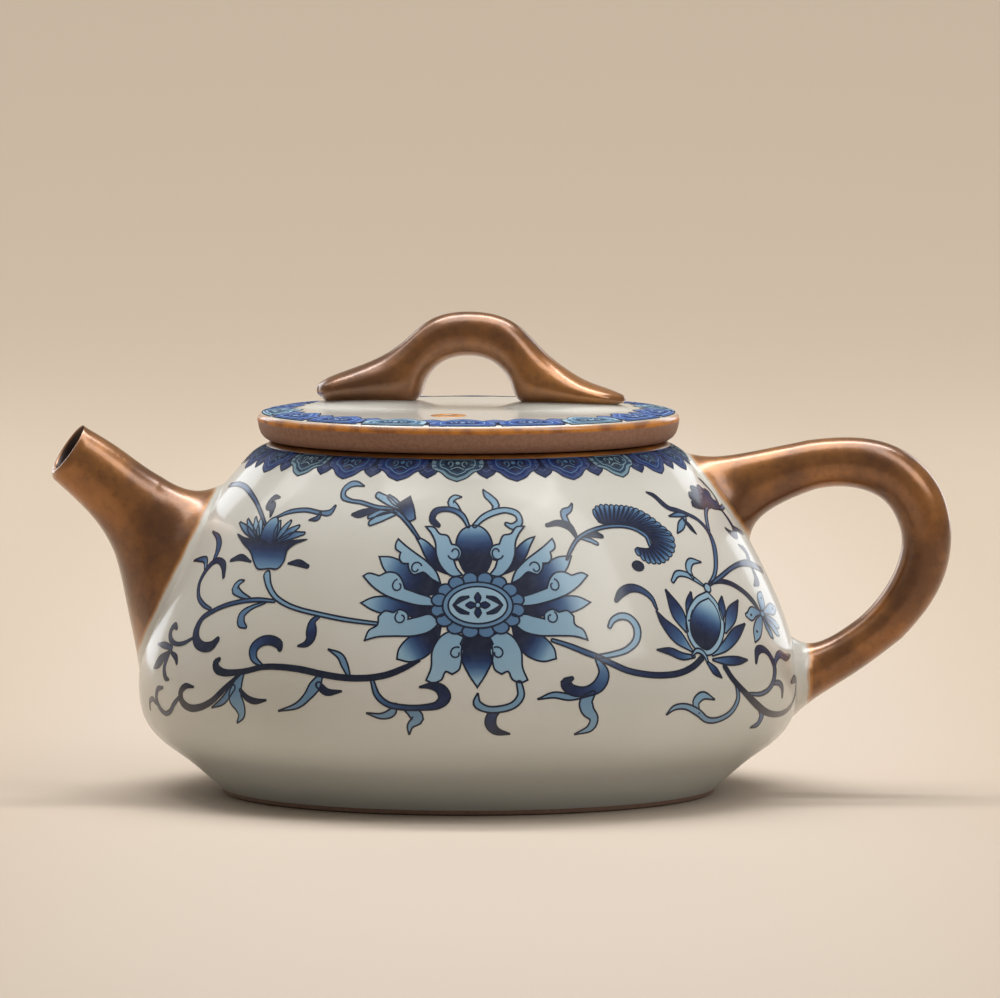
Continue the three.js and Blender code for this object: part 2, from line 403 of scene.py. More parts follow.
def soften(rings, start, stop, times):
    """Ease the rings from start to stop into one flowing skin that never sinks into the body."""
    flow = np.array(rings)
    for _ in range(times):
        eased = (flow[start - 1 : stop - 1] + flow[start + 1 : stop + 1]) / 4 + flow[start:stop] / 2
        flow[start:stop] = eased * 0.9 + (np.roll(eased, 1, 1) + np.roll(eased, -1, 1)) * 0.05
    ground, out, away = side_foot(flow[start:stop])
    low = np.maximum(0.05 - away, 0)[..., None]
    flow[start:stop] += out * low
    return list(flow)


SPOUT = [
    (-63.3, 60.5, -69.2, 52.2, 5.1), (-58.6, 57.6, -65.6, 48.9, 5.4), (-53.6, 54, -61.4, 44.2, 5.9),
    (-49, 51.4, -58.5, 38.2, 7), (-45, 50, -57.2, 30.4, 8.8), (-41, 49.3, -54.6, 22.8, 10.2),
    (-38, 49, -50, 20.6, 10.6),
]
BORE = [
    (-63.9, 60.9, -68.7, 54, 3.9), (-60, 57, -64.8, 50.9, 4), (-55, 53.1, -60, 46.3, 4.3),
    (-50, 50.2, -56.6, 40, 5), (-45, 48.4, -55, 32.4, 6.9), (-41, 47.8, -52.4, 25.2, 8.2),
    (-34, 47.6, -44, 23, 8.6),
]
HANDLE = [
    (35.5, 54.6, 42.5, 42.4, 5.2), (39.8, 55.2, 46.3, 44.6, 4.9), (46.8, 56.8, 50.4, 47.2, 4.5),
    (55, 58.4, 56, 49.9, 4.3), (62.8, 59.1, 62.4, 50.9, 4.2), (71.6, 57.4, 68.8, 48.9, 4.2),
    (78.2, 51.4, 71.6, 44.9, 4.2), (80.5, 43, 72.2, 41, 4.2), (79, 35, 70.6, 35.9, 4.2),
    (74.7, 28.2, 66.6, 30.3, 4.2), (67.6, 21.4, 61, 26, 4.2), (59.8, 16.6, 57, 24, 4.3),
    (53, 14.2, 53.4, 23, 4.6), (49, 13.4, 49.4, 22.6, 4.7),
]

# %% [markdown]
# ## The spout
# The spout is a short trumpet, hollow from its tip to the port in the wall. Its bore is a second sweep
# inside the first, joined to it by a rounded lip. The rings near the root are eased together, so that the
# fillet has no step, and the tip is cut a little askew.

# %% Spout
SIDES = 96
outer = sweep_lines(SPOUT, 500, SIDES)
meet, skirt = fillet(outer, rise=2.6, spread=3.2, rings=14)
rings = [sample(outer, meet * f) for f in np.linspace(0, 1, 70)[1:-1]]
outer_count = len(rings)
rings = soften(rings + skirt, outer_count - 26, outer_count + 12, times=160)
bore = sweep_lines(BORE, 500, SIDES)
bore_end = crossing(side_foot(bore)[2], -1.3)
bore_rings = [sample(bore, bore_end * f) for f in np.linspace(0, 1, 50)]
tip_out, tip_in = outer[0], bore_rings[0]
outward = unit(outer[0].mean(0) - outer[12].mean(0))
lip = []
for u in np.linspace(0, 1, 7):
    ring = tip_out * (1 - u) + tip_in * u
    lip.append(ring + outward * (0.55 * math.sin(math.pi * u)))
every = [*bore_rings[::-1][:-1], *lip[::-1], *rings]
for i, ring in enumerate(every):  # the end is cut a little askew, more open towards the painted front
    near = np.exp(-np.linalg.norm(ring.mean(0) - tip_out.mean(0)) / 6)
    every[i] = ring + outward * (ring[:, 1:2] * 0.2 * near)
spout = add_mesh("spout", np.vstack(every), ring_grid(len(every), SIDES, close_rows=True))
run = run_along(every)
edge_row = len(every) - len(skirt) + 7
past = run - run[edge_row]
past[-1] = 3.0
past[: len(bore_rings)] = np.minimum(past[: len(bore_rings)], -3)
mark_edge(spout, past)
finish_surface(spout, angle=60)

# %% [markdown]
# ## The handle
# The handle is a loop for one finger, luted to the side at two roots. It is swept like the spout, with a
# fillet at either end. The brown glaze stops just short of the wall there, so every point notes how far it
# lies past that edge, and the material turns cream from it on.

# %% Handle
SAMPLES = 900
HALFWAY = SAMPLES // 2
lines = sweep_lines(HANDLE, SAMPLES, SIDES)
upper_meet, upper_skirt = fillet(lines[HALFWAY::-1], rise=2.2, spread=2.6, rings=12)
lower_meet, lower_skirt = fillet(lines[HALFWAY - 1 :], rise=2.4, spread=2.8, rings=12)
first, last = HALFWAY - upper_meet, HALFWAY - 1 + lower_meet
every = list(upper_skirt[::-1])
upper_rows = len(every)
for f in np.linspace(0, 1, 130)[1:-1]:
    every.append(sample(lines, first + (last - first) * f))
every += lower_skirt
every = soften(every, 1, upper_rows + 24, times=140)
every = soften(every, len(every) - len(lower_skirt) - 24, len(every) - 1, times=140)
cap_top = side_foot(every[0])
cap_low = side_foot(every[-1])
every.insert(0, (cap_top[0] - cap_top[1] * 1.2))
every.append(cap_low[0] - cap_low[1] * 1.2)
points = np.vstack(every)
faces = ring_grid(len(every), SIDES)
faces += [tuple(range(SIDES)), tuple(range(len(points) - 1, len(points) - SIDES - 1, -1))]
handle = add_mesh("handle", points, faces)
run = run_along(every)
TOP_EDGE_ROW = 4
LOW_EDGE_X = 56.9
past = np.maximum(run[TOP_EDGE_ROW] - run, -60)
half = len(every) // 2
past[half:] = LOW_EDGE_X - np.array(every)[half:, :, 0]
mark_edge(handle, past)
finish_surface(handle, angle=60)
print("spout", len(spout.data.polygons), "faces, handle", len(handle.data.polygons))

# %% [markdown]
# ## Lid
# The lid is a shallow disc, glazed on top and bare round the rim, with a vent hole in front of the knob. It
# rests turned a little in its seat. The plate and the flange that keeps it in the mouth are turned
# sections, and the vent is cut with a cylinder. Turned pieces need no turning in the seat, so only what is
# not round, such as the vent and the knob, is moved with the lid.

# %% Lid plate and flange
TURN = math.radians(-9)
LID_SEAT = 58.75
LID_CROWN = 64.3
LID_TOP = natural(
    [
        (35.15, 62.3), (34.95, 62.95), (34.4, 63.35), (33.5, 63.6), (30.5, 63.88), (27, 64.05),
        (22, 64.15), (12, 64.25), (0, LID_CROWN),
    ],
    samples=400,
)
lid_section = [
    (0, LID_SEAT), (32.6, LID_SEAT), (33.4, 58.9), (34.1, 59.35), (34.6, 60.0), (34.9, 60.8), (35.05, 61.6),
    *LID_TOP[::6][:-1],
    (0, LID_CROWN),
]
lid = turned("lid_plate", lid_section, steps=256)
VENT = 20.7  # the vent hole's distance from the pot's axis
VENT_RADIUS = 1.3
vent_place = Vector((AXIS_X + VENT * math.sin(TURN), -VENT * math.cos(TURN), 62)) * MM
bpy.ops.mesh.primitive_cylinder_add(
    vertices=48, radius=VENT_RADIUS * MM, depth=20 * MM, location=vent_place
)
cut(lid, bpy.context.object)
flange = turned(
    "lid_flange",
    [(26.8, 51.3), (27.2, 51.1), (28.6, 51.1), (29.2, 51.4), (29.4, 52.0), (29.4, 58.9), (26.8, 58.9)],
)


def lid_height(r):
    """Height of the lid's top at a distance from the axis."""
    return np.interp(r, LID_TOP[::-1, 0], LID_TOP[::-1, 1])


def turn_lid(points):
    """Turn points about the pot's axis with the lid."""
    c, s = math.cos(TURN), math.sin(TURN)
    return points @ np.array([(c, s, 0), (-s, c, 0), (0, 0, 1)])


print("lid", len(lid.data.polygons), "faces, flange", len(flange.data.polygons))

# %% [markdown]
# ## Vent ring
# Amber glaze has gathered round the vent in a soft ring. It is a flat torus, whose every point follows the
# dome of the lid.

# %% Vent ring
rows = []
for u in np.linspace(0, 2 * math.pi, 17)[:-1]:
    radius, lift = 2.15 + 0.85 * math.cos(u), 0.16 * math.sin(u) - 0.02
    turn = np.linspace(0, 2 * math.pi, 65)[:-1]
    x, y = radius * np.cos(turn), -VENT + radius * np.sin(turn)
    rows.append(np.stack([x, y, lid_height(np.hypot(x, y)) + lift], -1))
vent_ring = add_mesh("vent_ring", turn_lid(np.vstack(rows)), ring_grid(len(rows), 64, close_rows=True))
finish_surface(vent_ring, angle=60)

# %% [markdown]
# ## Knob and its pads
# The knob is a bridge that is pinched between thumb and finger, with two long feet that spread along the
# lid. It is one more sweep through oval stations, closed at both ends by three ever smaller rings. Under
# each foot lies a low mound of cream clay, which is a rounded oval laid on the lid ring by ring.

# %% Knob
KNOB_SIDES = 72
KNOB = [
    (-25.1, 68, -25.1, 65.8, 1.6), (-24, 68.7, -23.9, 65, 3.5), (-20.6, 70.1, -19.4, 64.7, 4.9),
    (-16, 71.9, -12.9, 64.7, 5.1), (-12.9, 73.6, -8.4, 65.6, 4.6), (-10.3, 75.6, -7.2, 68.2, 4.1),
    (-6.4, 78.7, -4.7, 71.4, 3.7), (.2, 80.1, 0, 72.7, 3.6), (7, 78.7, 4.7, 71.4, 3.7),
    (10.7, 75.7, 7.2, 68.2, 4.1), (13.2, 73.2, 8.4, 65.6, 4.6), (16.3, 70.8, 12.9, 64.6, 5.1),
    (20.4, 68.5, 19.4, 64.5, 4.8), (24.2, 67.2, 24, 64.7, 3.3), (25.9, 66.5, 25.9, 65.1, 1.4),
]
knob_lines = sweep_lines(KNOB, 220, KNOB_SIDES)
tip_a, tip_b = knob_lines[0].mean(0), knob_lines[-1].mean(0)
ends = [(0.3, 0.5), (0.62, 0.4), (0.85, 0.22)]  # size of the ring, and how far past the end it lies
rings = [tip_a + (knob_lines[0] - tip_a) * k + (-far, 0, 0) for k, far in ends]
rings += [*knob_lines] + [tip_b + (knob_lines[-1] - tip_b) * k + (far, 0, 0) for k, far in ends[::-1]]
count = len(rings) * KNOB_SIDES
faces = ring_grid(len(rings), KNOB_SIDES)
faces += [tuple(range(KNOB_SIDES)), tuple(range(count - 1, count - KNOB_SIDES - 1, -1))]
flat = np.vstack(rings)
knob = add_mesh("lid_knob", turn_lid(flat), faces)
above = flat[:, 2] - lid_height(np.hypot(flat[:, 0], flat[:, 1]))
GLAZE_STOPS = 1.05  # height above the lid at which the knob's brown glaze ends
mark_edge(knob, GLAZE_STOPS - above)
finish_surface(knob, angle=60)


def foot_pad(name, from_x, to_x, half_width):
    """A low mound of cream clay that a foot of the knob stands on."""
    middle, reach = (from_x + to_x) / 2, (to_x - from_x) / 2
    turn = np.linspace(0, 2 * math.pi, 97)[:-1]
    rows = []
    for u in np.linspace(0, 1, 13)[1:]:
        x = middle + reach * u * np.sign(np.cos(turn)) * np.abs(np.cos(turn)) ** 0.8
        y = half_width * u * np.sign(np.sin(turn)) * np.abs(np.sin(turn)) ** 0.8
        lift = 1.35 * (1 - u**4) ** 1.6 - 0.05 * u
        rows.append(np.stack([x, y, lid_height(np.hypot(x, y)) + lift], -1))
    rows.append(rows[-1] - (0, 0, 0.6))
    n = len(rows) * 96
    faces = ring_grid(len(rows), 96) + [tuple(range(95, -1, -1)), tuple(range(n - 96, n))]
    return finish_surface(add_mesh(name, turn_lid(np.vstack(rows)), faces), angle=60)


pads = [foot_pad("knob_pad_left", -28.4, -4.6, 7.4), foot_pad("knob_pad_right", 4.6, 28.4, 7.2)]
print("knob", len(knob.data.polygons), "faces, pads", sum(len(pad.data.polygons) for pad in pads))

# %% [markdown]
# ## Strainer
# Behind the spout a pierced dome of clay holds back the leaves. It is a ball with a smaller ball cut out of
# it, pierced by thin cylinders that all point away from its middle: one ahead, a ring of six and a ring of
# twelve. What would stand outside the pot's cavity is cut off.

# %% Strainer
DOME, HOLLOW, HOLE = 10.5, 8.9, 1.15  # radii
dome_place = Vector((AXIS_X - 46.4, 0, PORT[1])) * MM
bpy.ops.mesh.primitive_uv_sphere_add(segments=64, ring_count=48, radius=DOME * MM, location=dome_place)
strainer = bpy.context.object
strainer.name = "strainer"
bpy.ops.mesh.primitive_uv_sphere_add(segments=64, ring_count=48, radius=HOLLOW * MM, location=dome_place)
cut(strainer, bpy.context.object)
for ring, count in ((0, 1), (26, 6), (50, 12)):
    for i in range(count):
        tilt, roll = math.radians(ring), 2 * math.pi * (i + 0.5) / count
        way = Vector((math.cos(tilt), math.sin(tilt) * math.cos(roll), math.sin(tilt) * math.sin(roll)))
        place = dome_place + way * 9.9 * MM
        bpy.ops.mesh.primitive_cylinder_add(vertices=20, radius=HOLE * MM, depth=8 * MM, location=place)
        pin = bpy.context.object
        pin.rotation_mode = "QUATERNION"
        pin.rotation_quaternion = way.to_track_quat("Z", "Y")
        bpy.context.view_layer.update()
        cut(strainer, pin)
keep = turned("inside", [(0, 8), *[(r + 0.2, z) for r, z in inner if z < 53], (0, 53)], steps=96)
cut(strainer, keep, "INTERSECT")
pick(strainer)
bpy.ops.object.transform_apply(location=True, rotation=True, scale=True)
bpy.ops.object.shade_smooth_by_angle(angle=math.radians(40))
print("strainer", len(strainer.data.polygons), "faces")

# %% [markdown]
# ## Painting
# The blue lies under a clear glaze. A picture wrapped round the pot would be the usual way, but here each
# stroke is drawn as a shape, so it stays sharp from any distance. Every stroke is a thin closed skin on the
# surface, with the surface's own outward directions, so the gloss runs over it unbroken. Its colour is kept
# at its points: tone 0 is the palest wash and tone 1 the darkest line.

# %% Brush
WASH = np.array([(170, 198, 212), (122, 158, 184), (54, 88, 130), (13, 34, 78), (5, 18, 46)], float) / 255


def linear(colour):
    """A colour as the eye judges it, from 0 to 1, turned into the amounts of light that Blender mixes."""
    c = np.asarray(colour, float)
    return np.where(c <= 0.04045, c / 12.92, ((c + 0.055) / 1.055) ** 2.4)


def ink(tone):
    """Linear colour for a tone from 0 to 1, or for an (r, g, b) from 0 to 255."""
    tone = np.asarray(tone, float)
    if tone.ndim and tone.shape[-1] == 3:
        return linear(tone / 255)
    k = np.linspace(0, 1, len(WASH))
    return linear(np.stack([np.interp(tone, k, WASH[:, i]) for i in range(3)], -1))


def inside(points, edge):
    """Which points lie inside a closed outline."""
    x, y = points[:, 0][:, None], points[:, 1][:, None]
    a, b = edge, np.roll(edge, -1, axis=0)
    rising = (a[:, 1] > y) != (b[:, 1] > y)
    with np.errstate(divide="ignore", invalid="ignore"):
        cross = (b[:, 0] - a[:, 0]) * (y - a[:, 1]) / (b[:, 1] - a[:, 1]) + a[:, 0]
    return ((rising & (x < cross)).sum(1) % 2) == 1


def patch(edge, grid=1.2):
    """Triangles that fill an outline, with points inside so that the patch can bend and shade."""
    low, high = edge.min(0), edge.max(0)
    xs, ys = np.arange(low[0], high[0], grid), np.arange(low[1], high[1], grid * 0.87)
    dots = [(x + (grid / 2) * (i % 2), y) for i, y in enumerate(ys) for x in xs]
    dots = np.array(dots).reshape(-1, 2)
    dots = dots[inside(dots, edge)]
    if len(dots):
        gap = np.linalg.norm(dots[:, None] - edge[None], axis=2).min(1)
        dots = dots[gap > grid * 0.3]
    verts = [Vector(p) for p in np.vstack([edge, dots])]
    found = delaunay_2d_cdt(verts, [], [list(range(len(edge)))], 1, 1e-5)
    place = np.array([tuple(v) for v in found[0]])
    faces = np.array([f for f in found[2] if len(f) == 3])
    used, back = np.unique(faces, return_inverse=True)
    return place[used], back.reshape(-1, 3)


def rim_edges(faces):
    """Edges that only one face uses, in that face's direction."""
    ways = {(int(f[i]), int(f[(i + 1) % 3])) for f in faces for i in range(3)}
    return [(a, b) for a, b in ways if (b, a) not in ways]


def leaf_edge(path):
    """The outline of a stroke whose path carries its width, with round ends."""
    lean = unit(np.gradient(path[:, :2], axis=0))
    side = np.stack([-lean[:, 1], lean[:, 0]], -1)
    half = path[:, 2:3] / 2
    left, right = path[:, :2] + side * half, path[:, :2] - side * half
    turn = np.linspace(0, math.pi, 7)[1:-1, None]

    def cap(i, way):
        return path[i, :2] + half[i] * (side[i] * np.cos(turn) * way + lean[i] * np.sin(turn) * way)

    pieces = [left]
    if half[-1] > 0.1:
        pieces.append(cap(-1, 1))
    pieces.append(right[::-1])
    if half[0] > 0.1:
        pieces.append(cap(0, -1))
    return np.vstack(pieces)


# %% Painting


class Painting:
    """Strokes gathered into one mesh on one surface."""

    def __init__(self, name, wrap, shift=0.0, line_width=0.31, flip=False):
        self.name, self.wrap, self.shift, self.line_width, self.flip = name, wrap, shift, line_width, flip
        self.points, self.outs, self.inks, self.faces, self.count, self.strokes = [], [], [], [], 0, 0

    def _lift(self, layer, line=False):
        """How far a stroke stands off the surface: no two that overlap may lie at the same height."""
        self.strokes += 1
        return 0.02 + 0.015 * layer + 0.003 * (self.strokes % 3) + (0.009 if line else 0)

    def _keep(self, points, outs, colours, faces):
        self.points.append(points)
        self.outs.append(outs)
        self.inks.append(colours)
        way = -1 if self.flip else 1
        self.faces += [tuple(int(k) + self.count for k in f)[::way] for f in faces]
        self.count += len(points)

    def fill(self, edge, tone, layer=0, grid=1.2):
        """A filled shape. Tone is a number, a colour, or a rule that gives tones for sheet positions."""
        flat, tris = patch(edge, grid)
        place, out = self.wrap(flat + (self.shift, 0))
        value = tone(flat) if callable(tone) else tone
        colour = ink(value)
        if colour.ndim == 1:
            colour = np.tile(colour, (len(flat), 1))
        n = len(flat)
        faces = [tuple(t) for t in tris] + [tuple(t[::-1] + n) for t in tris]
        for a, b in rim_edges(tris):
            faces += [(b, a, a + n, b + n)]
        points = np.vstack([place + out * self._lift(layer), place - out * 0.08])
        self._keep(points, np.vstack([out, -out]), np.vstack([colour, colour]), faces)

    def line(self, path, width=None, tone=1.0, layer=0, closed=False):
        """A line of one width, or of a width for every point."""
        width = self.line_width if width is None else width
        place, out = self.wrap(path[:, :2] + (self.shift, 0))
        if closed:
            before, after = unit(place - np.roll(place, 1, 0)), unit(np.roll(place, -1, 0) - place)
        else:
            step = unit(np.diff(place, axis=0))
            before, after = np.vstack([step[:1], step]), np.vstack([step, step[-1:]])
        way = unit(before + after)
        stretch = 1 / np.clip((way * after).sum(1), 0.55, 1)
        side = unit(np.cross(out, way)) * (stretch * width / (-2 if self.flip else 2))[:, None]
        lift = out * self._lift(layer, True)
        points = np.stack([place + side + lift, place - side + lift, place - out * 0.08], 1).reshape(-1, 3)
        n = len(path)
        faces = []
        for i in range(n if closed else n - 1):
            a, b = 3 * i, 3 * ((i + 1) % n)
            faces += [(a, a + 1, b + 1, b), (a + 1, a + 2, b + 2, b + 1), (a + 2, a, b, b + 2)]
        if not closed:
            faces += [(0, 2, 1), (3 * n - 3, 3 * n - 2, 3 * n - 1)]
        outs = np.stack([out, out, -out], 1).reshape(-1, 3)
        self._keep(points, outs, np.tile(ink(tone), (3 * n, 1)), faces)

    def shape(self, points, tone, layer=0, width=None):
        """A filled shape with a dark outline."""
        edge = outline(points)
        self.fill(edge, tone, layer)
        self.line(edge, width, 1.0, layer, closed=True)

    def leaf(self, spine, tone, end, layer=0):
        """A stroke along points (across, up, width), shading from tone to end, with a dark outline."""
        path = curve(spine, 0.45)
        path[:, 2] = np.maximum(path[:, 2], 0.06)
        edge = leaf_edge(path)
        along = np.linspace(0, 1, len(path))

        def shade(flat):
            near = np.linalg.norm(flat[:, None] - path[None, :, :2], axis=2).argmin(1)
            return tone + (end - tone) * along[near]

        self.fill(edge, shade, layer)
        self.line(edge, None, 1.0, layer, closed=True)

    def dot(self, x, y, a, b, tone, layer=0, edge=True):
        """A filled oval, a wide and b high from its middle."""
        turn = np.linspace(0, 2 * math.pi, 41)[:-1]
        ring = np.stack([x + a * np.cos(turn), y + b * np.sin(turn)], -1)
        self.fill(ring, tone, layer)
        if edge:
            self.line(ring, None, 1.0, layer, closed=True)

    def finish(self, material):
        """Make the mesh, with its colours and the surface's outward directions."""
        thing = add_mesh(self.name, np.vstack(self.points), self.faces)
        data = thing.data
        colours = np.hstack([np.vstack(self.inks), np.ones((self.count, 1))]).astype(np.float32)
        layer = data.color_attributes.new("ink", "FLOAT_COLOR", "POINT")
        layer.data.foreach_set("color", colours.ravel())
        data.shade_smooth()
        data.normals_split_custom_set_from_vertices(np.vstack(self.outs).tolist())
        thing.data.materials.append(material)
        print(self.name, len(data.polygons), "faces,", self.strokes, "strokes")
        return thing


def between(base, tip, low, high):
    """A shading rule: tone low at base and high at tip, both places on the sheet."""
    base, tip = np.array(base, float), np.array(tip, float)
    way = tip - base

    def rule(flat):
        t = np.clip(((flat - base) @ way) / (way @ way), 0, 1)
        return low + (high - low) * t

    return rule


# %% [markdown]
# ## The lotus and its petals
# A large open lotus fills the middle of the front. The flower is the same left and right of its middle
# line, so each petal is drawn once and mirrored. The dark petals lie lowest, then the upright and hanging
# ones, then the pale petals with their curls, and the medallion on top.

# %% Flower
MIDDLE = 1.4  # across, where the flower's middle line stands
HEART = (1.65, 35.35)


def mirrored(points):
    """The same shape on the other side of the flower's middle line."""
    return [(2 * MIDDLE - q[0], *q[1:]) for q in points][::-1]


DARK_PETALS = [  # outline, light end
    ([(-9.6, 46, 1), (-7.9, 45.5), (-6, 44.2), (-4.6, 42.4), (-3.4, 40.2, 1), (-5.4, 41), (-7.3, 42.7),
     (-8.6, 44.7)], (-8.8, 45.2)),
    ([(-15.8, 42.8, 1), (-13.5, 42.75), (-11, 41.9), (-7.5, 40.5), (-4, 38, 1), (-6.5, 36.9), (-9.5, 37.4),
     (-12.5, 39.2), (-14.6, 40.9)], (-14.6, 42.2)),
    ([(-17.7, 35.5, 1), (-15.8, 36.4), (-13.4, 36.6), (-10, 35.9), (-5.2, 34.9, 1), (-6.7, 33.4),
     (-10, 33.7), (-13.7, 33.9), (-16, 34.6)], (-16.4, 35.5)),
    ([(-10.8, 26.8, 1), (-10.6, 28.4), (-9.2, 30.2), (-6.7, 31.5), (-4.2, 32, 1), (-4.6, 29.8),
     (-6.1, 27.5), (-8.6, 26.4)], (-9.6, 27.2)),
]
CURLED_PETALS = [  # outline, curl middle, curl size, way in
    ([(-7.9, 47.6, 1), (-6.3, 47.5), (-5.2, 46.5), (-3.7, 46.2), (-2.9, 44.9, 1), (-1.7, 44.6),
     (-1.05, 43.6), (-1.5, 42.6), (-2.4, 42.4, 1), (-1.9, 41.2), (-.9, 40.1, 1), (-2.6, 39.9), (-4.4, 41.2),
     (-5.5, 43.1), (-5.9, 45.2), (-6.8, 46.6)], (-2.35, 43.55), .95, 200),
    ([(-12.8, 45.6, 1), (-11.1, 44.5), (-9.2, 43.4), (-7.2, 42.2), (-5.4, 40.6), (-4.5, 38.7, 1),
     (-6, 39.4), (-7.6, 40.5), (-8.3, 40.3, 1), (-9.3, 40.1), (-10.2, 41), (-10.4, 41.8, 1), (-11.5, 41.9),
     (-12.1, 42.7), (-12, 43.5, 1), (-13, 44.1), (-13.1, 44.9)], (-8.95, 41.1), .85, 20),
    ([(-18.1, 39.7, 1), (-17.2, 40.15), (-15.2, 39.8, 1), (-13.8, 40.4), (-12.2, 40.2), (-11.2, 39.3),
     (-10.5, 37.9, 1), (-8.3, 37.2), (-5.9, 36.4), (-5.2, 35.2, 1), (-7.9, 35.3), (-10.8, 35.9),
     (-13.7, 36.8), (-16.1, 38.1)], (-11.75, 38.3), .85, 100),
    ([(-16.2, 29.6, 1), (-15.7, 31.2), (-14.4, 32.1), (-14.4, 33.4, 1), (-13.5, 34.3), (-12, 34.1, 1),
     (-10.9, 34.6), (-9.6, 33.9), (-9.5, 33.1, 1), (-7.9, 33.5), (-6, 33.9), (-4.4, 32.6, 1), (-6, 31.2),
     (-8.4, 30.5), (-11.7, 30.4), (-14.3, 30.2)], (-10.7, 33.3), .85, 120),
    ([(-6.2, 23.5, 1), (-5.5, 25.5), (-5.4, 28.2), (-4.2, 30.4), (-2.6, 31.2), (-.6, 30.4, 1),
     (-1.1, 29.3, 1), (-.6, 28.3), (-.9, 26.9), (-1.3, 25.2), (-2.3, 24.5, 1), (-3.3, 24.9), (-3.9, 23.6),
     (-5.2, 23.1)], (-1.75, 27.8), .85, 60),
]


def curl(middle, size, start, turns=0.9):
    """A small spiral that winds in from its rim."""
    t = np.linspace(0, 1, 16)
    angle = math.radians(start) + t * turns * 2 * math.pi
    radius = size * (1 - 0.62 * t)
    return np.stack([middle[0] + radius * np.cos(angle), middle[1] + radius * np.sin(angle)], -1)


def lotus(p):
    """The petals, from the lowest layer to the highest."""
    for points, tip in DARK_PETALS:
        heart = (-4.5, np.mean([q[1] for q in points[3:6]]))
        p.shape(points, between(tip, heart, 0.16, 1.3), 0)
        p.shape(mirrored(points), between(*mirrored([heart, tip]), 0.16, 1.3), 0)
    bud = [(0.5, 47.75), (-1.3, 46.9), (-2.1, 45.2), (-1.6, 42.6), (0.0, 40.2), (2.7, 40.2), (4.2, 42.6),
           (4.4, 45.2), (3.5, 46.9), (2.0, 47.75)]
    p.shape(bud, between((1.2, 47.4), (1.3, 41.6), 0.24, 1.25), 1)
    drop = [(1.45, 22.4, 1), (0.1, 24.6), (-0.9, 27.0), (-0.7, 29.4), (0.5, 31.2), (2.5, 31.2), (3.6, 29.4),
            (3.8, 27.0), (2.8, 24.6)]
    p.shape(drop, between((1.45, 23.4), (1.45, 29.6), 0.16, 1.25), 1)
    for points, middle, size, start in CURLED_PETALS:
        far = points[0][:2]
        p.shape(points, between(far, HEART, 0.12, 0.3), 2)
        p.line(curl(middle, size * 1.25, start), 0.26, 0.95, 3)
        p.shape(mirrored(points), between(mirrored([far])[0], HEART, 0.12, 0.3), 2)
        other = curl(middle, size * 1.25, start)
        other[:, 0] = 2 * MIDDLE - other[:, 0]
        p.line(other, 0.26, 0.95, 3)


def heart(p):
    """The medallion in the flower: a ring of beads round an oval with a small four-petalled sprig."""
    for i in range(16):
        turn = 2 * math.pi * (i + 0.5) / 16
        x, y = HEART[0] + 6.4 * math.cos(turn), HEART[1] + 4.2 * math.sin(turn)
        p.dot(x, y, 1.28, 0.98, 0.4, 4 + i % 2)
    p.dot(HEART[0], HEART[1], 6.3, 4.1, 0.95, 3, edge=False)
    p.dot(HEART[0], HEART[1], 5.7, 3.6, 0.34, 7)
    p.dot(HEART[0], HEART[1], 4.8, 2.9, 0.12, 8)
    for i in range(4):
        turn = math.pi / 2 * i
        x, y = math.cos(turn), math.sin(turn)
        tip = (HEART[0] + 1.9 * x, HEART[1] + 1.9 * y)
        p.leaf([(HEART[0] + 0.4 * x, HEART[1] + 0.4 * y, 0.3), (HEART[0] + 1.2 * x, HEART[1] + 1.2 * y, 1.0),
                (*tip, 0.15)], 0.85, 0.7, 9)
    for way, up in ((-1, 1), (-1, -1), (1, 1), (1, -1)):
        spine = [(1.5, 1.3, 0.2), (2.8, 0.9, 0.6), (3.9, 0, 0.15)]
        p.leaf([(HEART[0] + way * x, HEART[1] + up * y, w) for x, y, w in spine], 0.9, 0.9, 9)
    p.dot(HEART[0], HEART[1], 0.45, 0.45, 0.2, 10)


# %% [markdown]
# ## Scrolls
# Stems, leaves and buds run out from the lotus round the side. A painter lays each with one pull of the
# brush, so each is one short list of (across, up, width), with its tone at the start and its tone at the
# end. A stroke with a third number sits that many layers up.

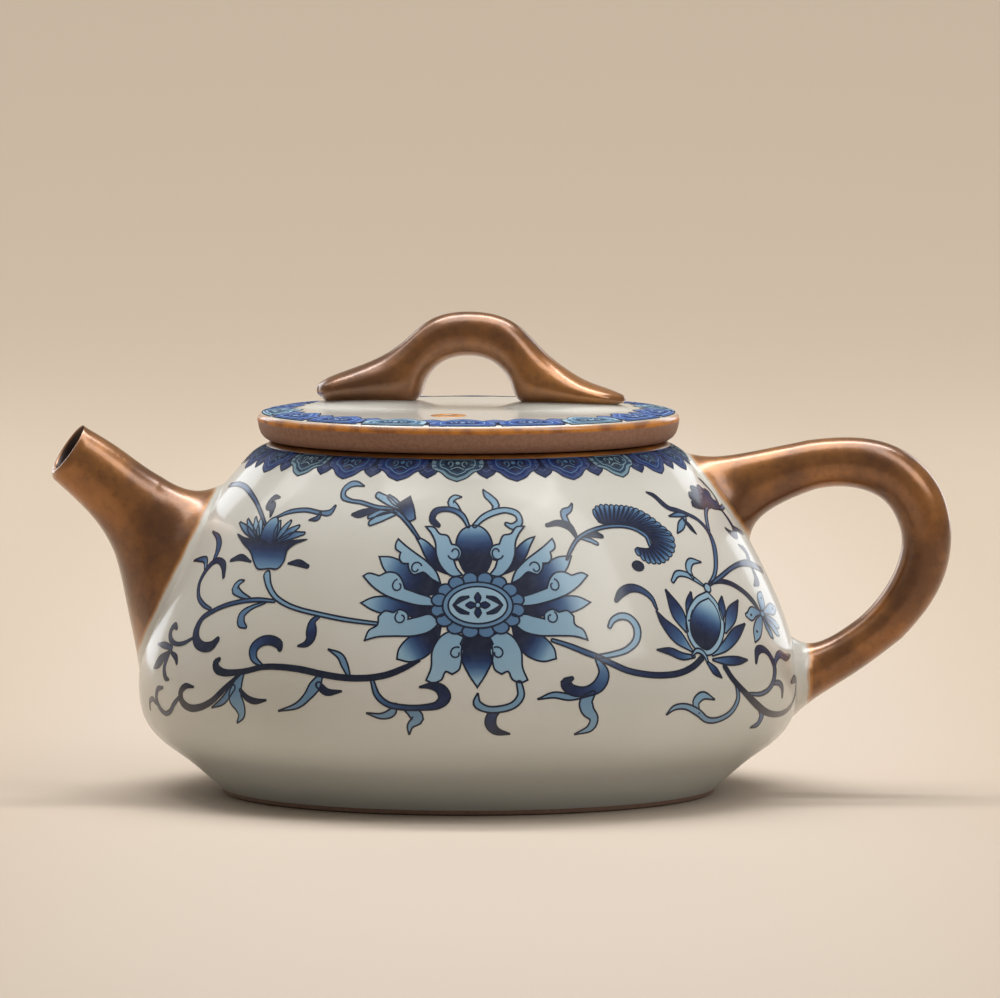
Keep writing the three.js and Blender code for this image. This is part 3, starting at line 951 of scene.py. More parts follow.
# %% Strokes near the flower
ABOVE = [
    ([(.1, 47.7, .5), (-.9, 49.2, .8), (-2.6, 50.1, .7), (-5, 50.3, .7), (-6.5, 49.8, 1), (-6.8, 48.7, 1),
     (-5.5, 47.8, .5)], .25, .9),
    ([(-1.2, 49.6, .4), (-2.5, 50.6, 1.3), (-3.4, 51.4, 1.2), (-2.7, 52.1, .8), (-1.3, 52.2, .1)], .2, .2),
    ([(1.3, 47.8, .7), (2.9, 49, .9), (5.4, 49.9, .9), (7.8, 50.1, .8), (9.7, 49.4, 1), (9.9, 48.3, 1.1),
     (8.4, 47.6, .9), (7.3, 48, .5)], .2, .25),
    ([(4.9, 49.8, .6), (5.6, 50.9, 1.3), (4.7, 51.9, 1.1), (3.7, 52.6, .9), (3.2, 53.3, .1)], .15, .3),
]
BELOW = [
    ([(-14.4, 23.2, .5), (-13.5, 20.9, .8), (-12, 19.6, .8), (-9.8, 19.1, .8), (-6.7, 19.1, .8),
     (-4.3, 19.6, 1.2), (-3.4, 20.8, 1.7), (-4, 22.1, 1.5), (-5.4, 22.6, .9), (-7.1, 22.4, .1)], .35, 1),
    ([(-10.7, 19.5, .4), (-11.3, 18.2, 1.2), (-12.8, 17.6, .9), (-15.1, 18, .1)], .3, .3),
    ([(-9.4, 19, .5), (-8, 18.2, 1.7), (-7.4, 17.3, 1.7), (-8.5, 16.1, .9), (-8.7, 14.7, .1)], .35, .25),
    ([(7.7, 23, .8), (7.9, 21, 1), (6.9, 19.6, 1), (5, 18.9, 1), (2.8, 18.9, 1), (1.4, 19.8, 1.1),
     (1.5, 21.4, .1)], .25, .3),
    ([(4.7, 18.8, .5), (3.6, 17.8, 1.4), (3.4, 16.4, 1.5), (4.2, 15.3, 1.1), (6.2, 14.8, .1)], .6, 1),
    ([(13.3, 29.7, .5), (15.8, 28.8, .7), (18.3, 27.7, .8), (20.4, 26.8, .8), (22.5, 25.7, .8),
     (25, 24.5, .8), (28.3, 23.7, .8), (31.3, 23.4, .8), (34.6, 23.6, .8), (37.5, 24.5, .8),
     (39.4, 25.6, .8)], .4, 1),
    ([(20.3, 26.9, .6), (22.5, 27.1, .8), (25.4, 27.8, .9), (27.4, 29.3, 1.1), (27.9, 31.2, 1.2),
     (27, 32.7, 1.1), (25.4, 33.1, 1), (23.8, 32.5, .8), (23.1, 31.6, .6)], .22, .22),
    ([(20.1, 26.5, .5), (21, 24.3, 1.6), (20, 22.3, 1.9), (17.9, 21.4, 1.5), (15.6, 21.8, 1.6),
     (14.8, 22.9, 1.4), (15.8, 23.6, .5)], .3, 1),
    ([(18.5, 20.9, .4), (15.4, 20.6, 1), (12.9, 21, .9), (10.5, 20.4, .1)], .3, .3),
    ([(19, 21.1, .8), (17.9, 19.8, 2), (18.1, 18.4, 2), (19.1, 17, 1.3), (18.6, 15.5, 1.1),
     (16.2, 14.5, .1)], .3, .25),
]

# %% Strokes left of the flower
LEFT = [
    ([(-14.6, 32.3, .5), (-20, 32.8, .6), (-25, 33.5, .6), (-28.3, 34, .6), (-31.3, 34.7, .65),
     (-34.2, 35.9, .75), (-36.2, 37.5, .95), (-37.4, 39.1, 1.3)], .3, .25),
    ([(-24.4, 33.3, .3), (-25.6, 32.2, 1), (-25.5, 30.8, 1.7), (-25.4, 29.6, 1.4), (-26, 28.7, .9),
     (-27.4, 28.3, .1)], .5, 1),
    ([(-7.4, 26.6, .3), (-9.6, 25.4, .7), (-12.1, 24.3, .8), (-15, 23.7, .8), (-18.8, 23.6, .8),
     (-22.5, 24, .8), (-26.3, 24.6, .8), (-30, 24.8, .75), (-33.3, 24.6, .7), (-36.3, 23.8, .7),
     (-39.2, 23.3, .8), (-41.3, 23.2, 1), (-42.9, 23.7, 1.2), (-43.4, 24.6, 1), (-42.7, 25.2, .5)], 1, 1),
    ([(-18.1, 23.8, .4), (-19, 25.6, 1), (-19.9, 27, .9), (-22, 28, .1)], .35, .3),
    ([(-22.8, 23.7, .8), (-23.6, 22.1, 1.8), (-24.7, 20.4, 1.3), (-26.4, 18.8, .9), (-29.7, 17.7, .1)], .35,
     .3),
    ([(-23, 22.3, .9), (-21.6, 21.2, 1), (-19.2, 21.4, .1)], .9, 1),
    ([(-33.4, 24.8, .3), (-35.3, 25.9, 1.1), (-35.7, 27.4, 1.6), (-34.5, 28.6, 1.5), (-32.5, 28.9, 1.4),
     (-30.9, 28.3, 1.2), (-30.6, 27.6, .6)], .3, 1),
    ([(-37, 23.6, .5), (-37.9, 21.4, 1.8), (-38.2, 19.4, 2.6), (-37.2, 17.9, 2), (-36.9, 16.5, 1.2),
     (-37.9, 15.2, .1)], .35, .25),
    ([(-38.8, 20.9, 1), (-40.8, 18.6, 1.1), (-43.3, 17.3, .1)], .35, .4),
    ([(-37.2, 20.6, .4), (-35.7, 19.4, .8), (-34.2, 19, .8), (-32.1, 19.3, .1)], .9, 1),
    ([(-37.6, 23.2, .3), (-40.6, 20.6, .7), (-43.3, 18.4, .8), (-46.3, 17.1, .9), (-49.2, 16.8, 1),
     (-51.3, 17.7, 1.1), (-51.7, 19.1, 1), (-50.4, 20.2, .8), (-48.1, 20.3, .1)], 1, 1),
    ([(-52, 18.3, .4), (-53.8, 17, .6), (-55.4, 15.6, .6), (-57.5, 15.1, .6), (-59.6, 16, .7),
     (-60.6, 17.4, .8), (-60, 18.8, .8), (-57.9, 19.3, .2)], .6, .7),
    ([(-60.8, 16.4, .4), (-62.5, 17, .6), (-64.2, 16.3, .6), (-64.6, 15.1, .3)], .6, .6),
    ([(-34, 35.1, .4), (-37.5, 35.1, .6), (-40.8, 34.7, .6), (-44.6, 33.8, .65), (-47.9, 32.5, .7),
     (-50, 31.2, .9), (-50.5, 29.3, 1.4), (-49.6, 27.7, 1.5), (-47.5, 26.9, 1.4), (-45.3, 27.2, 1.4),
     (-44.2, 28.3, .8)], .35, 1),
    ([(-39.6, 35.2, .4), (-42.3, 35.8, 1), (-43.9, 36.6, 1.4), (-43.4, 37.5, .9), (-42.3, 37.9, .1)], .35,
     .3),
    ([(-35.8, 34.8, .3), (-38.7, 33.7, .7), (-40.1, 32.5, 1.3), (-39.8, 31.3, 1.4), (-38.5, 30.7, .4)], .35,
     .4),
    ([(-48.5, 32.9, .4), (-51.2, 33.5, .6), (-53.7, 34.7, .6), (-55.2, 36.8, .7), (-54.8, 38.8, 1),
     (-53.4, 40.2, .9), (-51.7, 40.5, .8), (-49.6, 39.8, 1), (-48.2, 38.1, .4)], .45, .9),
    ([(-55.1, 38.8, .6), (-56.7, 40.2, .9), (-59.2, 40.2, .7), (-61.9, 39.8, .1)], .3, .7),
    ([(-53.6, 40.5, .8), (-54.1, 42.4, 1.3), (-56.2, 43.9, .8), (-60.2, 44.7, .1)], .5, .6),
    ([(-50.9, 28, .3), (-53.3, 27, .5), (-55.8, 26.7, .5), (-58.3, 27.3, .8), (-59.2, 28.6, 1),
     (-58.2, 29.5, .9), (-57.1, 29.1, .4)], .55, .9),
    ([(-56.9, 25.9, .6), (-60, 26.1, .9), (-63.3, 26, .1)], .6, .9),
    ([(-57.4, 25.2, .5), (-60.9, 23.2, 1.8), (-62.9, 22.1, .1)], .9, .95),
    ([(-57.4, 24.9, .5), (-58.2, 22.5, .9), (-57.1, 21, .8), (-55.9, 20.8, .1)], .5, .9),
    ([(-56.6, 25.2, .4), (-54.6, 24.5, .8), (-54, 23.7, .4)], .6, .95),
    ([(-43.1, 46.9, .4), (-45.4, 48.2, .5), (-49.2, 49.9, .5), (-53.3, 51.1, .55), (-58.3, 52, .6),
     (-63.7, 52.2, .6), (-69, 51.7, .6)], .5, .5),
]

# %% Sprig at the upper left
SPRIG = [
    ([(-9, 45.8, .4), (-11.3, 48, .6), (-13.3, 49.4, .6), (-15.4, 50.1, .6), (-18.8, 50.5, .5),
     (-22.1, 51.1, .5), (-24.6, 51.3, .5), (-26.6, 51.9, .8), (-27, 52.9, 1.1), (-26.1, 53.7, 1),
     (-24.6, 53.9, .7), (-22.7, 53.6, .1)], .45, .3),
    ([(-13.6, 50.3, .4), (-16.2, 51.4, 1.1), (-18.9, 52.3, .9)], .25, .2, 1),
    ([(-13.2, 50.5, .4), (-14.8, 51.3, .9), (-16.4, 52.1, .6)], .25, .3, 1),
    ([(-16.8, 50.3, .3), (-19.6, 49.8, .9), (-21.7, 49.3, 1.1), (-23.2, 49.2, .2)], .7, 1),
    ([(-14.2, 49.5, .4), (-16.8, 48.9, 1.3), (-18.8, 48, .9)], .2, .25, 1),
    ([(-14.8, 49.9, .3), (-17.4, 49.6, .9), (-19.4, 48.9, .6)], .3, .3, 1),
]
BUD = [(-11.9, 52.2, 1), (-10.7, 50.4), (-10.1, 48.8, 1), (-11.2, 48.4), (-12.8, 49.6), (-14.2, 51, 1),
       (-13.2, 51.5)]

# %% The small open flower at the left
CUP = [
    (-49.8, 44.9, 1), (-46.7, 44.4), (-43.3, 44.5), (-41, 44.2), (-39.2, 43.7, 1), (-36.8, 44.3),
    (-34.6, 44.6), (-31.2, 45, 1), (-33.6, 44.1), (-34.7, 43.1), (-34.6, 41.4), (-35.4, 40.2),
    (-37.3, 40.1), (-40, 39.9), (-41.4, 40.7), (-43.6, 42.4), (-46.7, 43.6),
]
FAN = [
    ([(-42.6, 44.4, .5), (-44.2, 46.4, 1.3), (-45, 47.6, .4)], .2),
    ([(-42.8, 44.4, .5), (-45.2, 46.2, 1.2), (-46.8, 47.7, .3)], .25),
    ([(-43, 44.4, .5), (-46.6, 45.9, 1.1), (-49, 47.3, .3)], .3),
    ([(-43.3, 44.4, .5), (-48, 45.8, 1), (-51.2, 46.7, .2)], .35),
    ([(-38.6, 44.3, .5), (-39.1, 46.2, 1.3), (-39.4, 47.4, .5)], .3),
    ([(-38.3, 44.3, .5), (-37.5, 46.2, 1.3), (-36.7, 47.5, .6)], .3),
    ([(-38, 44.3, .5), (-35.9, 45.9, 1.3), (-34.2, 46.9, .5)], .35),
    ([(-37.8, 44.3, .5), (-34.9, 45.4, 1.1), (-32.3, 45.9, .4)], .4),
]
TALL = [(-42.6, 44.4, 1), (-42.9, 46.3), (-42.2, 47.6), (-40.7, 48.1), (-39.4, 46.9), (-38.5, 44.6),
        (-38.9, 42.6, 1), (-40.9, 43.6)]
BESIDE = [
    ([(-40.8, 48.1, .3), (-38.3, 49, .6), (-34.2, 49.5, .6), (-30, 49.2, .6), (-28.1, 49.4, .9),
     (-27.6, 50.3, .4)], .4, .4),
    ([(-30.4, 49.3, .3), (-30.4, 48.5, .8), (-32.3, 48, .1)], .4, .8),
    ([(-42.9, 51.1, .1), (-44.8, 50.9, 1), (-45, 50, 1.4), (-43.4, 49.5, 1.2), (-42.6, 48.1, .2)], .95, .8),
    ([(-48.1, 40.8, .4), (-45.8, 41.4, .9), (-42.5, 40.9, .1)], .95, .9),
    ([(-33.5, 41.1, .1), (-31.5, 41.3, .9), (-29.2, 40.8, .5)], .9, 1),
]

# %% Strokes right of the flower
RIGHT_TOP = [
    ([(17.7, 42.4, .3), (18.8, 43.8, .5), (20.4, 45.3, .5), (22.9, 46.4, .5), (25.8, 47, .5),
     (28.6, 47.2, .5), (31.7, 47, .5), (34, 46.3, .6), (35.5, 45.2, .8), (35.5, 44, .7)], .4, .4),
    ([(20.4, 45.7, .4), (19.6, 47.3, 1.1), (17.5, 48, .8), (15.1, 47.7, .4)], .85, 1),
    ([(20.4, 46.3, .3), (19.3, 48, .9), (19, 49.4, 1.2), (20.6, 50.1, .7), (21.4, 50.9, .2)], .3, .4),
    ([(21.7, 45.9, .3), (23.7, 46.2, 1.1), (25.6, 45.7, .5)], .8, 1),
    ([(21, 45.6, .2), (22.9, 45.2, .6), (24.2, 44.6, .5)], .3, .3),
]
COMB_OUT = [
    (25.3, 49.2), (26.2, 50), (27.9, 50.3), (30, 50.2), (32.1, 50.1), (34, 49.9), (35.8, 49.5),
    (38.3, 48.3), (40.2, 46.8), (41.9, 45.3), (41.2, 43.4), (39.3, 42.1), (36.7, 41.2), (34.6, 41.3),
    (33.2, 41.6), (31.7, 43.3),
]
COMB_IN = [
    (25.9, 47.9), (26.7, 47.6), (28.2, 47.4), (29.6, 47.5), (31, 47.4), (32.5, 47.2), (33.8, 46.8),
    (34.9, 46.2), (35.8, 45.5), (36.3, 44.8), (36.3, 44.2), (35.8, 43.8), (35.2, 43.5), (34.4, 43.4),
    (33.6, 43.5), (32.4, 43.7),
]
RIGHT = [
    ([(45, 36.8, .3), (43.1, 38.1, .7), (41.2, 39, .9), (39.3, 39.1, .9), (37.8, 38.1, .6)], .25, .2),
    ([(42.9, 38.3, .4), (42.6, 39.7, 1.2), (43.9, 40.8, 1.1), (46.7, 40.6, .1)], .2, .25),
    ([(46, 36.8, .4), (49.2, 38.5, .6), (51.7, 40.9, .9), (53.4, 43.4, 1.1), (53.7, 45.1, .9),
     (52.4, 46.9, .6), (50, 48, .5), (47.1, 48.9, .5), (45, 49.3, .7), (43.7, 50.2, 1), (42.7, 51.3, .8),
     (41, 52, .1)], .3, .95),
    ([(49.2, 48, .4), (46.6, 48.2, .7), (43.7, 48.1, .1)], .3, .5),
    ([(48.3, 47.6, .5), (45.8, 46.5, 1.2), (43.7, 45.4, .1)], .3, .3),
    ([(47.6, 47.2, .5), (48.4, 46.1, 1), (49.2, 45, .1)], .9, 1),
    ([(53.6, 44.8, .7), (55.4, 46.8, .7), (57.5, 48.2, .6), (60, 48.8, .6), (62.9, 48.6, .6),
     (65.8, 48.1, .6), (70, 48.2, .6)], .4, .5),
    ([(66.2, 48.4, .5), (68.2, 50, .6), (68.3, 51.3, .8), (67.6, 52.2, .9), (66.8, 52.9, .2)], .5, .7),
    ([(61.9, 45, .4), (63.5, 44.1, 1), (65.3, 43.8, 1.2), (66.8, 44.8, 1.5), (66.8, 46.4, 1),
     (66, 47.9, .4)], 1, .7),
    ([(67, 44.8, .8), (69.5, 44.2, .7), (72, 43.6, .6)], .7, .6),
    ([(46.7, 37, .4), (50.8, 38, .55), (55.4, 39, .55), (60, 39.4, .7), (64.2, 39.2, 1), (68, 38.4, 1),
     (72, 37.4, .8)], .4, .8),
    ([(64.9, 39.3, .5), (66.5, 40.8, 1.4), (64.2, 42.2, .1)], .8, 1),
    ([(65.3, 38.7, .5), (64.7, 36.5, 1.4), (61.9, 35.7, .1)], .8, 1),
    ([(46.7, 37.2, .4), (50, 37.3, .6), (53.3, 36.6, .7), (56.7, 34.9, .9), (58.7, 33.1, 1.1),
     (59.5, 31.8, .6)], .8, 1),
    ([(44.3, 23.9, .8), (45.8, 21.8, .8), (48.7, 19.3, .9), (52.1, 17, 1.1), (55.4, 15.5, .9),
     (59.6, 14.7, .7), (64.2, 14.7, .65), (67.9, 15.5, .6), (70.4, 17, .6), (71.4, 18.8, .5)], 1, .9),
    ([(46.5, 21, .4), (46.8, 18.6, .8), (45.2, 16.5, .8), (42.1, 15.4, .8), (39.6, 15.6, .9),
     (37.5, 17, 1.1), (35, 18.1, .9), (32.9, 18, .7), (31.5, 17, .1)], .35, .25),
    ([(37.7, 17, .5), (37.2, 18.6, 1.3), (38.6, 19.6, 1.3), (41.2, 18.8, .1)], .25, .25),
    ([(49.9, 19, .4), (53.3, 18.7, .6), (56.3, 19.3, .7), (58.4, 20.8, 1), (59.2, 22.6, 1.2),
     (58.2, 24.6, .9), (56.2, 25.8, 1), (54.1, 25.6, 1.2), (53, 23.9, .4)], .35, .95),
    ([(59, 22.4, .4), (60.5, 23.8, .9), (62.6, 24.4, 1.1), (65.4, 23.6, 1.1), (69.2, 23.6, .1)], .4, 1),
    ([(57.4, 20, .4), (60, 19.9, .8), (61.6, 19, 1.1), (61.6, 17.5, .5)], .4, .9),
    ([(52.6, 16.6, .5), (54, 15.2, 1.3), (53.4, 13.8, 1), (51.2, 13.3, .1)], .4, .6),
    ([(67, 19.3, .3), (69.5, 19.6, 1.2), (72, 19.2, .3)], .9, .9),
]
CARNATION = [
    (53.3, 49.2, 1), (53.8, 49.8), (54.9, 49.9, 1), (54.4, 50.5), (55.6, 51.3), (57, 51.1, 1), (57.9, 52),
    (60, 52), (60.8, 51.6, 1), (61.8, 52), (63.4, 51.9), (63.9, 51.2, 1), (65.2, 51.3), (66.1, 50.7),
    (65.2, 50.1, 1), (65.2, 49.6), (66.8, 49, 1), (66.2, 48.2), (62.5, 48.2), (59.2, 48.8), (56.9, 48.6),
    (54.8, 48.8),
]
STAR = [
    ([(59.6, 31.4, .5), (57, 31.8, 1.7), (55.3, 31.3, 1.6), (54.2, 31.5, .6)], .4, .15),
    ([(60.4, 31.7, .5), (61.8, 33, 2.3), (63.1, 33.9, 1.6), (63.8, 34.4, .3)], .4, .2),
    ([(61, 31.4, .5), (63.5, 31.5, 1.2), (66.5, 31.5, 1.8), (68.7, 31.4, .5)], .4, .2),
    ([(59.6, 30.9, .5), (57.3, 29.6, 2), (55.5, 28.3, 1.9), (54.2, 27.1, .1)], .4, .15),
    ([(60, 30.7, .4), (60.3, 29.2, 1.2), (61.2, 27.6, 1.1), (61.4, 27.2, .3)], .6, .2),
    ([(60.6, 30.7, .4), (62.4, 29.3, 1.2), (64.3, 27.8, 1.2), (64.9, 27.3, .3)], .6, .2),
    ([(61.2, 30.9, .4), (63.4, 29.9, 1.1), (65.6, 28.9, 1.1), (66.4, 28.5, .3)], .6, .2),
]

# %% The lotus bud at the right
OPEN_BUD = [(45.2, 36, 1), (46.7, 34), (46.9, 31.3), (45.5, 28.6), (42.9, 26.5), (40.6, 26), (38.3, 27.4),
            (37.5, 29.7), (38.6, 32.8), (41.6, 35.1)]
BUD_HEART = [(44.9, 34.9, 1), (45.9, 33.4), (46, 31.3), (44.7, 29.1), (42.5, 27.4), (40.8, 26.9),
             (39, 28.1), (38.4, 29.9), (39.4, 32.4), (41.9, 34.2)]
BUD_PETALS = [
    ([(37.5, 30.3, .8), (36.7, 33, 2.6), (35.6, 36.8, .2)], .3, 1),
    ([(38.6, 32, .6), (39.9, 34.3, 1.5), (41.1, 36.1, .2)], .4, .9),
    ([(37.6, 27, .4), (35.3, 29.4, 2.3), (33.3, 31.8, 1.3), (32.4, 33.6, .1)], .25, 1),
    ([(32.6, 33.9, .3), (32.1, 35.7, .7), (30.3, 37.1, 1), (28.3, 37.4, 1.2), (26.4, 36.7, 1.2),
     (25.2, 35.6, .5)], .4, .95),
    ([(37.9, 26, .4), (35.5, 26.2, 1.1), (33.3, 27.1, 1.1), (30.9, 27.5, .1)], .3, .95),
    ([(46.8, 31.5, .5), (47.6, 33.2, 1.7), (48.7, 34.9, .2)], .5, .8),
    ([(46.5, 29.4, .5), (49.6, 31.9, 2.3), (53.2, 34, .1)], .25, .95),
    ([(42, 26, .4), (45.4, 27.1, 1.5), (49.2, 28.9, 1.8), (52.7, 30.2, .1)], .2, .95),
    ([(41.9, 25.2, .3), (45, 24.8, 1.3), (48.1, 24.6, 1.2), (50.5, 24.5, .1)], .35, .95),
    ([(40.6, 24.8, .4), (41.9, 23.4, 1.2), (43.2, 22.2, .1)], .4, .9),
]


# %% The whole design


def strokes(p, many, layer=0):
    """Paint a list of strokes; a long one lies a layer higher, over the short ones that it meets."""
    for item in many:
        spine, start, end = item[:3]
        p.leaf(spine, start, end, layer + (item[3] if len(item) > 3 else 0) + (len(spine) > 6))


def comb(p):
    """The feathery scroll: many narrow ribs standing between an inner and an outer line."""
    count = 27  # ribs
    far, near = curve(COMB_OUT, 0.2), curve(COMB_IN, 0.1)
    pick_far = np.linspace(0, len(far) - 1, count + 1)
    pick_near = np.linspace(0, len(near) - 1, count + 1)

    def at(line, k):
        return np.array([np.interp(k, np.arange(len(line)), line[:, i]) for i in (0, 1)])

    for i in range(count):
        a, b = at(near, pick_near[i]), at(near, pick_near[i + 1])
        c, d = at(far, pick_far[i + 1]), at(far, pick_far[i])
        top = (c + d) / 2 + unit((c + d) / 2 - (a + b) / 2) * 0.35
        edge = outline([(*a, 1), d, top, c, (*b, 1)], 0.4)
        p.fill(edge, between((a + b) / 2, (c + d) / 2, 0.95, 0.35), 0, 3)
        p.line(edge, 0.22, 1.0, 0, closed=True)


def design(p):
    """The whole painted scheme of one side of the body."""
    strokes(p, BELOW + LEFT + SPRIG + BESIDE + RIGHT_TOP + RIGHT)
    p.shape(BUD, between((-12.4, 51.6), (-10.8, 49), 1.0, 0.4), 2)
    for spine, tone in FAN:
        p.leaf(spine, tone + 0.25, tone - 0.1, 1)
    p.shape(TALL, between((-40.8, 43.6), (-41, 47.8), 0.9, 0.2), 2)
    p.shape(CUP, between((-38.6, 40.4), (-38.6, 44.3), 0.3, 1.0), 3)
    comb(p)
    p.dot(31.3, 40.8, 1.15, 0.75, 1.0, 0)
    p.shape(CARNATION, between((54.5, 50), (66, 48.5), 1.0, 0.6), 2)
    strokes(p, STAR, 1)
    p.dot(60.3, 31.2, 0.9, 0.5, 0.3, 2)
    for x, y in ((55.8, 31.4), (62.7, 33.6), (66.7, 31.5), (55.9, 28.7)):
        p.dot(x, y, 0.36, 0.24, 1.0, 2, edge=False)
    strokes(p, BUD_PETALS[:3] + BUD_PETALS[5:] + BUD_PETALS[3:5], 1)
    p.shape(OPEN_BUD, 0.12, 2)
    p.shape(BUD_HEART, between((41.4, 28.2), (44.4, 34.2), 1.1, 0.05), 3)
    p.leaf([(37.5, 26.2, .3), (38.7, 26.9, .7), (40, 26.3, .7), (40.5, 25.1, .4)], .2, .2, 4)
    p.dot(45.6, 36.5, 0.8, 0.7, 0.15, 4)
    strokes(p, ABOVE, 0)
    lotus(p)
    heart(p)

# %% [markdown]
# ## Borders
# Cloud-shaped heads run round the shoulder and round the lid, one pale head after every two blue ones, with
# a small lobe between neighbours. One head is drawn and then repeated at even steps, and the same drawing
# serves both borders, wider on the lid. Their colours are lit and shaded copies: darker on the shoulder as
# painted shade under the lid's rim, paler on the lid as a painted sheen.

# %% Border heads
HEAD = [(-5.9, -.3, 1), (-6.25, 1.3), (-5.6, 2.8), (-3.7, 3.5), (-2.2, 4.6), (0, 5.4, 1), (2.2, 4.6),
        (3.7, 3.5), (5.6, 2.8), (6.25, 1.3), (5.9, -.3, 1)]
# Painted shade: the shoulder's colours are darker copies of the lid's, for the shade that the lid's rim
# throws on the shoulder.
SHADED_SHOULDER_INKS = {  # rim, ground, light lines and core of a head; ground and line of a lobe
    "blue": ((44, 62, 112), (14, 36, 96), (72, 110, 144), (6, 16, 54)),
    "pale": ((112, 140, 152), (30, 56, 80), (118, 146, 158), (16, 34, 54)),
    "lobe": ((36, 48, 88), (74, 88, 128)),
}
# Painted sheen: the lid's colours are paler copies of the shoulder's, for the sheen of the light on the
# lid's top.
SHEEN_LID_INKS = {
    "blue": ((90, 116, 170), (40, 78, 150), (142, 174, 206), (18, 44, 106)),
    "pale": ((152, 182, 198), (72, 108, 138), (162, 192, 206), (40, 70, 102)),
    "lobe": ((80, 104, 158), (132, 154, 192)),
}
LOBE = [(-2.3, 1.6, 1), (-2, 3.5), (0, 4.75, 1), (2, 3.5), (2.3, 1.6, 1)]


def scaled(points, at, across, deep, inset=1.0):
    """A shape moved to its place on the border; inset draws it smaller about the head's middle."""
    return [(at + q[0] * across * inset, (1.4 + (q[1] - 1.4) * inset) * deep, *q[2:]) for q in points]


def cloud_head(p, at, inks, across, deep):
    """One head: its outline, three shapes nested inside it, two swirls, a brow and a dot."""
    rim, ground, light, core = inks
    p.shape(scaled(HEAD, at, across, deep), rim, 2, width=0.2)
    p.fill(outline(scaled(HEAD, at, across, deep, 0.82), 0.5), ground, 3)
    p.line(outline(scaled(HEAD, at, across, deep, 0.66), 0.4), 0.16, light, 4, closed=True)
    p.fill(outline(scaled(HEAD, at, across, deep, 0.5), 0.4), core, 5)
    for way in (-1, 1):
        middle = at + way * 1.75 * across
        swirl = curl((middle, 1.5 * deep), 0.85, 90, 0.85)
        swirl[:, 0] = middle + (swirl[:, 0] - middle) * way * across
        p.line(swirl, 0.17, light, 6)
    brow = [(at - 1.5 * across, 2.9 * deep), (at, 2.4 * deep), (at + 1.5 * across, 2.9 * deep)]
    p.line(curve(brow, 0.3), 0.17, light, 6)
    p.dot(at, 1.3 * deep, 0.5 * across, 0.42, light, 6, edge=False)


def border(p, inks, count, first, across, deep, bands):
    """A full round of heads and lobes, over plain dark bands at the border's straight edge."""
    period = 2 * math.pi * MEASURE / count
    ring = np.linspace(0, 2 * math.pi * MEASURE, 361)[:-1]
    # The dark bands belong to the border; on the shoulder, just under the lid's rim, their near-black colour
    # also stands in for the lid's shadow, as painted shade.
    for q in bands:
        p.line(np.stack([ring, np.full(360, q)], -1), 0.95, (10, 18, 52), 0, closed=True)
    for i in range(count):
        at = first + i * period
        middle = at + period / 2
        p.shape(scaled(LOBE, middle, across, deep), inks["lobe"][0], 1, width=0.2)
        p.line(outline(scaled(LOBE, middle, across, deep, 0.6), 0.4), 0.16, inks["lobe"][1], 1, closed=True)
        cloud_head(p, at, inks["blue" if i % 3 else "pale"], across, deep)


def on_shoulder(flat):
    """Across is angle x 50; up is the distance down the side from the collar."""
    run = SIDE_RUN[-1] - flat[:, 1]
    k = np.interp(run, SIDE_RUN, np.arange(len(SIDE)))
    i = np.clip(np.rint(k).astype(int), 0, len(SIDE) - 1)
    r = np.interp(run, SIDE_RUN, SIDE[:, 0])
    z = np.interp(run, SIDE_RUN, SIDE[:, 1])
    r = np.where(flat[:, 1] < 0, SIDE[-1, 0] + flat[:, 1], r)
    return around(flat[:, 0] / MEASURE, r, z, SIDE_OUT[i])


def on_lid(flat):
    """Across is angle x 50; up is the distance in from the lid's rim."""
    r = 34.0 - flat[:, 1]
    z = lid_height(r)
    slope = (lid_height(r + 0.2) - lid_height(r - 0.2)) / 0.4
    return around(flat[:, 0] / MEASURE, r, z, unit(np.stack([-slope, np.ones_like(r)], -1)))


# %% [markdown]
# ## Materials
# Every finish is a Principled surface. Its colour is stirred a little with noise on the piece's own
# coordinates, because no glaze is even. Shader sums are written with a small class that wraps a socket, so
# that a mask reads as plain arithmetic.

# %% Shader helper


class Wire:
    """A value in a node tree that can be added, multiplied and so on."""

    def __init__(self, tree, socket):
        self.tree, self.socket = tree, socket

    def sum(self, kind, *values):
        node = self.tree.nodes.new("ShaderNodeMath")
        node.operation = kind
        for slot, value in zip(node.inputs, values):
            if isinstance(value, Wire):
                self.tree.links.new(value.socket, slot)
            else:
                slot.default_value = value
        return Wire(self.tree, node.outputs[0])

    def __add__(self, other):
        return self.sum("ADD", self, other)

    def __sub__(self, other):
        return self.sum("SUBTRACT", self, other)

    def __rsub__(self, other):
        return self.sum("SUBTRACT", other, self)

    def __mul__(self, other):
        return self.sum("MULTIPLY", self, other)

    def ramp(self, low, high):
        """0 below low, 1 above high, and a smooth step between."""
        node = self.tree.nodes.new("ShaderNodeMapRange")
        node.interpolation_type = "SMOOTHSTEP"
        self.tree.links.new(self.socket, node.inputs["Value"])
        node.inputs["From Min"].default_value, node.inputs["From Max"].default_value = low, high
        return Wire(self.tree, node.outputs["Result"])


